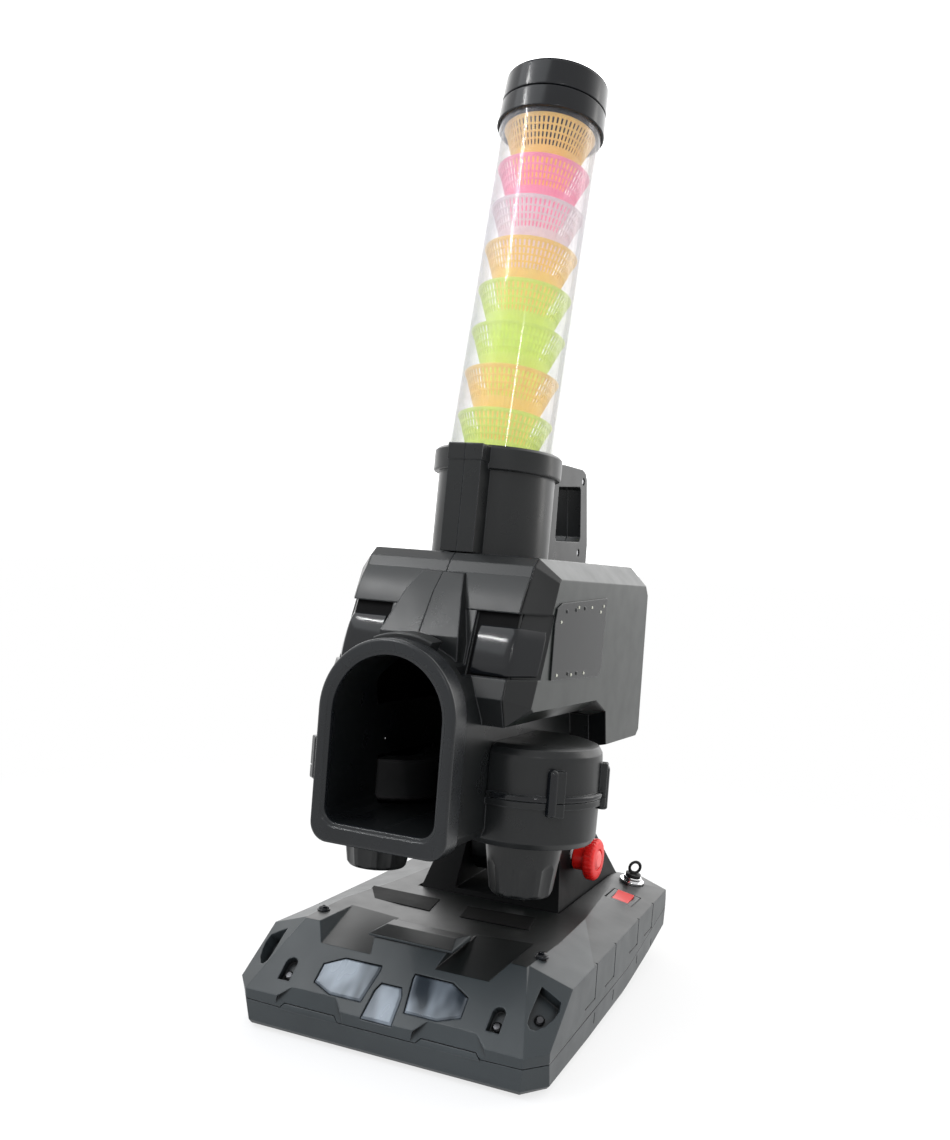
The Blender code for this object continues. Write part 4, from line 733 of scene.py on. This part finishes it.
def make_deck_wells():
    """Two dark fields of the deck in front of the tower, as thin matt panels that follow its slope; their
    dark is painted shade of recesses.
    """
    for tag, corners in DECK_WELLS:
        name = "deck_well_" + tag
        rings = [[(x, y, DECK_Z + DECK_SLOPE * (y - DECK_Y) + lift) for x, y in corners]
                 for lift in DECK_PANEL]
        add_piece(name, lofted(name, rings, ROW), PAINTED_SHADE, "base")


def make_small_screws():
    for index, spot in enumerate(DECK_SCREWS):
        name = "deck_screw_%d" % (index + 1)
        mesh = turned(name, PAN_HEAD, ROW @ Matrix.Translation(spot), SCREW_STEPS)
        add_piece(name, mesh, SOFT_GLOSS, "base")
    for index, spot in enumerate(TUNNEL_SCREWS):
        name = "tunnel_screw_%d" % (index + 1)
        mesh = turned(name, DOME, HEAD @ Matrix.Translation(spot) @ TO_X, DOME_STEPS)
        add_piece(name, mesh, CHROME, "head")


# Screw posts and bands of the wheel pods, in the head's frame

SIDES = ((1, "right"), (-1, "left"))
POD_X = 56.0
POD_Y = -122.8
PIN_R = 3.9
PIN_CHAMFER = 0.8
PIN_REACH = 50.6
PIN_ANGLES = (-51.0, 14.0)
PIN_LOW = 62.0
PIN_HIGH = 92.5
PIN_ARC = 6
FLANGE_SPAN = 97.0
FLANGE_STEPS = 40
FLANGE_CURVE = 60.0
FLANGE_RING = [(50.4, 70.5), (51.3, 70.6), (51.6, 71.2), (51.6, 73.0), (51.3, 73.8), (50.4, 74.0)]


def make_pins():
    """Domed screw posts that clamp each pod's cover to its lower half."""
    profile = [(AXIS, PIN_HIGH)]
    for step in range(1, PIN_ARC + 1):
        turn = math.pi / 2.0 * step / PIN_ARC
        profile.append((PIN_R * math.sin(turn), PIN_HIGH - PIN_R + PIN_R * math.cos(turn)))
    profile += [(PIN_R, PIN_LOW + PIN_CHAMFER), (PIN_R - PIN_CHAMFER, PIN_LOW), (AXIS, PIN_LOW)]
    for side, tag in SIDES:
        for index, angle in enumerate(PIN_ANGLES):
            turn = math.radians(angle)
            spot = (side * (POD_X + PIN_REACH * math.cos(turn)), POD_Y + PIN_REACH * math.sin(turn), 0.0)
            name = "pod_pin_%s_%d" % (tag, index + 1)
            mesh = turned(name, profile, HEAD @ Matrix.Translation(spot), SCREW_STEPS)
            add_piece(name, mesh, GLOSS, "head")


def make_flange_band(side, tag):
    """Dark glossy band between the two rings of a pod's flange, on the part outside the barrel."""
    rings = []
    for step in range(FLANGE_STEPS + 1):
        turn = math.radians(FLANGE_SPAN * (2.0 * step / FLANGE_STEPS - 1.0))
        rings.append([(side * (POD_X + radius * math.cos(turn)), POD_Y + radius * math.sin(turn), z)
                      for radius, z in FLANGE_RING])
    name = "flange_band_" + tag
    add_piece(name, lofted(name, rings, HEAD, FLANGE_CURVE), GLOSS, "head")


# Skins of the muzzle and the hood, in the head's frame

SPINE_FRONT = -217.4
SPINE_BACK = -203.0
SPINE_START = 66.0
SPINE_SPAN = 48.0
SPINE_STEPS = 16
SPINE_RING = [(44.0, SPINE_FRONT), (50.6, SPINE_FRONT), (51.4, SPINE_FRONT + 0.8), (51.9, SPINE_BACK),
              (44.0, SPINE_BACK)]
ARCH_CENTRE = 122.2
MOUTH_CORNER = 10.0
CORNER_STEPS = 8
ARCH_STEPS = 48
RING_WIDE = 8.8
RING_SILL = 12.5
RING_LIFT = 1.2
RING_CORNER = 12.0
RING_CURVE = 38.0
RING_SPLIT = 6.0
RING_FRONT = BEZEL_Y - 1.6
RING_BACK = BEZEL_Y + 15.8
RING_LIP = [(9.3, RING_BACK), (9.3, RING_FRONT + 2.6), (8.95, RING_FRONT + 1.3), (8.0, RING_FRONT + 0.35),
            (6.7, RING_FRONT), (3.5, RING_FRONT), (2.8, RING_FRONT + 0.3), (2.4, RING_FRONT + 0.9),
            (0.6, BEZEL_Y - 0.25), (0.0, BEZEL_Y + 0.2), (-0.25, BEZEL_Y + 0.9), (-0.25, BEZEL_Y + 3.5),
            (4.0, BEZEL_Y + 6.0), (7.0, RING_BACK)]
HOOD_TOP = Vector((-146.0, 227.25))
HOOD_FOOT = Vector((-175.1, 190.4))
HOOD_BULGE = 3.4
HOOD_THICK = 2.0
HOOD_STEPS = 14
HOOD_CURVE = 25.0
HOOD_SIDES = (10.0, 61.1)


def make_spine_foot():
    """Band at the foot of the spine, standing proud of the barrel behind the bezel."""
    rings = []
    for step in range(SPINE_STEPS + 1):
        turn = math.radians(SPINE_START + SPINE_SPAN * step / SPINE_STEPS)
        rings.append([(radius * math.cos(turn), y, ARCH_CENTRE + radius * math.sin(turn))
                      for radius, y in SPINE_RING])
    add_piece("spine_foot", lofted("spine_foot", rings, HEAD), BLACK, "head")


def doorway(half, low, spring, corner):
    """Points round an arch with rounded feet, from the middle of its sill, at evenly matched stations."""
    quarter = math.pi / 2.0
    points = [(0.0, low)]
    for step in range(CORNER_STEPS + 1):
        turn = -quarter + quarter * step / CORNER_STEPS
        points.append((half - corner + corner * math.cos(turn), low + corner + corner * math.sin(turn)))
    for step in range(ARCH_STEPS + 1):
        turn = math.pi * step / ARCH_STEPS
        points.append((half * math.cos(turn), spring + half * math.sin(turn)))
    for step in range(CORNER_STEPS + 1):
        turn = math.pi + quarter * step / CORNER_STEPS
        points.append((-half + corner + corner * math.cos(turn), low + corner + corner * math.sin(turn)))
    return [Vector(point) for point in points]


def make_bezel_ring():
    """The bezel's smooth front: rounded outside, a raised face, and a lip that slopes to the tunnel."""
    inner = doorway(MOUTH_HALF, MOUTH_LOW, MOUTH_SPRING, MOUTH_CORNER)
    outer = doorway(MOUTH_HALF + RING_WIDE, MOUTH_LOW - RING_SILL, MOUTH_SPRING + RING_LIFT, RING_CORNER)
    verts = []
    for near, far in zip(inner, outer):
        out = (far - near).normalized()
        stretch = (far - near).length - RING_WIDE
        for reach, y in RING_LIP:
            place = near + out * (reach + (stretch if reach > RING_SPLIT else 0.0))
            verts.append((place.x, y, place.y))
    count = len(RING_LIP)
    faces = []
    for row in range(len(inner)):
        here = row * count
        there = ((row + 1) % len(inner)) * count
        for index in range(count):
            after = (index + 1) % count
            faces.append((here + index, here + after, there + after, there + index))
    mesh = mesh_from("bezel_ring", verts, faces, HEAD, RING_CURVE)
    weighted(add_piece("bezel_ring", mesh, BEZEL, "head"))


def make_hood(side, tag):
    """Curved skin over the front of the head between the spine and the side cover."""
    along = HOOD_FOOT - HOOD_TOP
    out = Vector((along.y, -along.x)).normalized()
    ring = []
    for step in range(HOOD_STEPS + 1):
        share = step / HOOD_STEPS
        place = HOOD_TOP + along * share + out * (4.0 * HOOD_BULGE * share * (1.0 - share))
        ring.append((place.x, place.y))
    ring += [(HOOD_FOOT.x + HOOD_THICK, HOOD_FOOT.y), (HOOD_TOP.x, HOOD_TOP.y - HOOD_THICK)]
    rings = [[(side * x, y, z) for y, z in ring] for x in HOOD_SIDES]
    name = "hood_" + tag
    weighted(add_piece(name, lofted(name, rings, HEAD, HOOD_CURVE), BLACK, "head"))


# The clamp knob, built along X about the pivot

KNURLS = 30
KNOB_POINTS = KNURLS * 4
KNOB_CURVE = 40.0
KNOB_RINGS = [(52.3, 9.2, 0.0), (53.0, 9.8, 0.0), (62.0, 9.8, 0.0), (62.6, 14.6, 0.2), (64.0, 15.9, 0.75),
              (69.4, 15.9, 0.75), (70.7, 14.4, 0.2), (71.0, 13.0, 0.0), (71.0, 8.4, 0.0), (69.6, 8.0, 0.0)]


def make_knob():
    """Fine knurls round the knob's rings, each given as (place along X, radius, knurl depth)."""
    rings = []
    for x, radius, depth in KNOB_RINGS:
        ring = []
        for step in range(KNOB_POINTS):
            turn = 2.0 * math.pi * step / KNOB_POINTS
            reach = radius - depth * 0.5 * (1.0 - math.cos(turn * KNURLS))
            ring.append((x, reach * math.cos(turn), reach * math.sin(turn)))
        rings.append(ring)
    mesh = lofted("knob_body", rings, ROW @ Matrix.Translation(PIVOT), KNOB_CURVE)
    add_piece("knob_body", mesh, RED, NODES["clamp_knob"]["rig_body"], ["clamp_knob"])


# Nodes shown as welded, smoothed copies, with the sharpest turn that is still a curve

SKINS = [
    ("body_black", BASE, {"base_cover": 9.0, "base_tray": 9.0}),
    ("body_black", TOWER_PAINTED_SHADE, {"stand_tower": 14.0}),
    ("body_black", BLACK, {"shell_left": 19.5, "shell_right": 19.5, "pod_cover_left": 24.0,
                           "pod_cover_right": 24.0, "motor_cap_left": 24.0, "motor_cap_right": 24.0,
                           "battery_box": 20.0, "battery_door": 20.0, "drop_gate": 20.0,
                           "switch_bezel": 20.0}),
    ("cover_grey", GREY, {"side_cover_left": 12.0, "side_cover_right": 12.0, "feed_arm": 20.0,
                          "wheel_hub_left": 25.0, "wheel_hub_right": 25.0}),
    ("gloss_black", PLATE, {"label_plate": 20.0}),
    ("lens_clear", LENS, {"lens_left": 20.0, "lens_centre": 20.0, "lens_right": 20.0}),
    ("red_plastic", RED, {"power_rocker": 20.0}),
    ("pink_plastic", PINK, {"knob_insert": 25.0}),
    ("steel", DULL_STEEL, {"base_screw_1": 25.0, "base_screw_2": 25.0, "base_screw_3": 25.0,
                           "base_screw_4": 25.0}),
    ("steel", STEEL, {"tilt_shaft": 25.0, "motor_left": 25.0, "motor_right": 25.0, "feed_motor": 25.0,
                      "handle_screw_1": 25.0, "handle_screw_2": 25.0}),
    ("chrome", CHROME, {"panel_connector": 25.0}),
    ("rubber", RUBBER, {"foot_1": 25.0, "foot_2": 25.0, "foot_3": 25.0, "foot_4": 25.0,
                        "friction_washer": 25.0, "wheel_tyre_left": 25.0, "wheel_tyre_right": 25.0,
                        "connector_plug": 30.0}),
    ("circuit_board", BOARD, {"lamp_board": 20.0, "control_board": 20.0}),
    ("battery_wrap", WRAP, {"battery_pack": 20.0}),
]


EDGE_WORK = {"shell_left": round_bezel, "shell_right": round_bezel, "lens_left": chamfer_lens,
             "lens_centre": chamfer_lens, "lens_right": chamfer_lens}


def make_skins():
    for slot, material, nodes in SKINS:
        for node, sharp in nodes.items():
            refined(node, material, sharp, EDGE_WORK.get(node))


# Floor, lights and camera, in metres

# With the distance the floor's colour darkens, as painted shade of a dim far studio, and it turns white to
# the eye
FLOOR_CORNERS = [(-4.0, -4.0, 0.0), (4.0, -4.0, 0.0), (4.0, 6.0, 0.0), (-4.0, 6.0, 0.0)]
FLOOR_TONES = ((0.86, 0.86, 0.86, 1.0), (0.9, 0.9, 0.9, 1.0))
FLOOR_FAR_SHADE = (0.28, 0.3, 0.29, 1.0)
FLOOR_FADE = (0.45, 1.3)
FLOOR_GLOW = (0.76, 1.0, 0.25, 0.8)


def make_floor():
    """Pale floor that takes the machine's shadow, darkens far out with painted shade, and fades into the
    white surround.
    """
    look = Look("studio_floor")
    reach = look.add("ShaderNodeVectorMath", [(0, look.place)], operation="LENGTH").outputs["Value"]
    pale = look.mixed(look.span(look.noise(2.0), 0.0, 1.0), *FLOOR_TONES)
    # Painted shade: the floor's colour turns dark far from the machine
    look.set("Base Color", look.mixed(look.span(reach, 0.0, 1.0, *FLOOR_FADE), pale, FLOOR_FAR_SHADE))
    look.set("Roughness", 0.9)
    glow = look.add("ShaderNodeEmission", [("Color", WHITE), ("Strength", 1.0)]).outputs[0]
    share = look.maths("MULTIPLY", look.seen(), look.span(reach, *FLOOR_GLOW))
    blend = look.add("ShaderNodeMixShader", [(0, share), (1, look.shader.outputs[0]), (2, glow)]).outputs[0]
    look.put(look.tree.nodes["Material Output"].inputs["Surface"], blend)
    mesh = bpy.data.meshes.new("studio_floor")
    mesh.from_pydata(FLOOR_CORNERS, [], [(0, 1, 2, 3)])
    mesh.materials.append(look.material)
    floor = bpy.data.objects.new("studio_floor", mesh)
    bpy.context.scene.collection.objects.link(floor)


# Light along an axis of the sky: its level at either end, and where the change starts and ends
SKY_BACK = (0.0, 1.5, 0.1, 0.85)
SKY_TOP = (0.0, 0.9, -0.05, 0.5)
SKY_LEFT = (0.1, 0.36, 0.3, -0.8)
SKY_WARMTH = (0.0, 1.0, -0.6, 0.8)
COOL = (0.92, 0.98, 1.1, 1.0)
WARM = (1.03, 1.0, 0.93, 1.0)


def make_world():
    """A white surround to look at, and the light of a dim studio with a bright back and top."""
    world = bpy.data.worlds.new("studio")
    bpy.context.scene.world = world
    world.use_nodes = True
    sky = Graph(world.node_tree)
    way = sky.add("ShaderNodeTexCoord").outputs["Generated"]
    axes = sky.add("ShaderNodeSeparateXYZ", [(0, way)]).outputs
    back = sky.span(axes["Y"], *SKY_BACK, kind="SMOOTHSTEP")
    high = sky.span(axes["Z"], *SKY_TOP, kind="SMOOTHSTEP")
    left = sky.span(axes["X"], *SKY_LEFT, kind="SMOOTHSTEP")
    level = sky.maths("ADD", sky.maths("ADD", back, high), left)
    tint = sky.mixed(sky.span(axes["Y"], *SKY_WARMTH, kind="SMOOTHSTEP"), COOL, WARM)
    seen = sky.seen()
    background = sky.tree.nodes["Background"].inputs
    sky.put(background["Color"], sky.mixed(seen, tint, WHITE))
    sky.put(background["Strength"], sky.maths("MAXIMUM", seen, level))


LAMPS = [("top_softbox", (-0.85, -0.75, 1.8), (0.0, 0.0, 0.2), (1.6, 1.3), 1.4, (0.92, 0.97, 1.0)),
         ("rim_softbox", (1.5, 1.3, 0.9), (0.0, 0.0, 0.3), (0.5, 1.2), 3.0, (1.0, 0.98, 0.95))]

# Two slim strips, one high on the left and one on the right, that show as thin lines down the tube
STRIPS = [("left", Vector((-1.42, -0.86, 2.29)), Vector((-0.8, -1.62, 1.81)), 200.0),
          ("right", Vector((1.05, -1.54, 1.69)), Vector((1.21, -1.62, 1.37)), 190.0)]
STRIP_WIDE = 0.018
STRIP_TARGET = Vector((0.0, 0.0, 0.5))


def make_lamp(name, place, target, size, radiance, tint=WHITE[:3]):
    """A rectangular softbox of a given brightness per area, aimed at a target."""
    light = bpy.data.lights.new(name, "AREA")
    light.shape = "RECTANGLE"
    light.size = size[0]
    light.size_y = size[1]
    light.energy = radiance * math.pi * size[0] * size[1]
    light.color = tint
    lamp = bpy.data.objects.new(name, light)
    bpy.context.scene.collection.objects.link(lamp)
    lamp.location = place
    lamp.rotation_mode = "QUATERNION"
    lamp.rotation_quaternion = (Vector(target) - Vector(place)).to_track_quat("-Z", "Y")
    return lamp


def make_strip(tag, start, end, radiance):
    """A slim softbox from start to end, turned about its length to face the machine."""
    middle = (start + end) / 2.0
    along = (end - start).normalized()
    aim = (STRIP_TARGET - middle).normalized()
    aim = (aim - along * aim.dot(along)).normalized()
    lamp = make_lamp("strip_" + tag, middle, middle + aim, ((end - start).length, STRIP_WIDE), radiance)
    across = -aim.cross(along)
    lamp.rotation_quaternion = Matrix((along, across, -aim)).transposed().to_quaternion()


def make_lamps():
    for lamp in LAMPS:
        make_lamp(*lamp)
    for strip in STRIPS:
        make_strip(*strip)


CAMERA_TURN = 0.426
CAMERA_PITCH = 0.053
CAMERA_ROLL = -0.055
CAMERA_PLACE = (0.353795, -0.819926, 0.357996)
FOCAL_PIXELS = 1212.235
FRAME_WIDTH = 950.0
SENSOR = 36.0


def make_camera():
    """The photograph's view, turned towards the right side, pitched down and rolled a little."""
    reach = math.cos(CAMERA_PITCH)
    ahead = Vector((-math.sin(CAMERA_TURN) * reach, math.cos(CAMERA_TURN) * reach, -math.sin(CAMERA_PITCH)))
    level = Vector((math.cos(CAMERA_TURN), math.sin(CAMERA_TURN), 0.0))
    down = ahead.cross(level)
    right = math.cos(CAMERA_ROLL) * level + math.sin(CAMERA_ROLL) * down
    low = -math.sin(CAMERA_ROLL) * level + math.cos(CAMERA_ROLL) * down
    lens = bpy.data.cameras.new("photo_camera")
    lens.sensor_fit = "HORIZONTAL"
    lens.sensor_width = SENSOR
    lens.lens = FOCAL_PIXELS / FRAME_WIDTH * SENSOR
    camera = bpy.data.objects.new("photo_camera", lens)
    bpy.context.scene.collection.objects.link(camera)
    pose = Matrix((right, -low, -ahead)).transposed().to_4x4()
    pose.translation = Vector(CAMERA_PLACE)
    camera.matrix_world = pose
    bpy.context.scene.camera = camera


make_camera()
make_world()
make_lamps()
make_floor()
make_skins()
make_tube()
make_cap()
make_shuttles()
for side, tag in SIDES:
    make_visor(side, tag)
make_dots()
make_deck_wells()
make_small_screws()
make_pins()
make_spine_foot()
make_bezel_ring()
for side, tag in SIDES:
    make_hood(side, tag)
for side, tag in SIDES:
    make_flange_band(side, tag)
make_knob()

bpy.context.scene.view_settings.view_transform = "Standard"
bpy.context.view_layer.update()
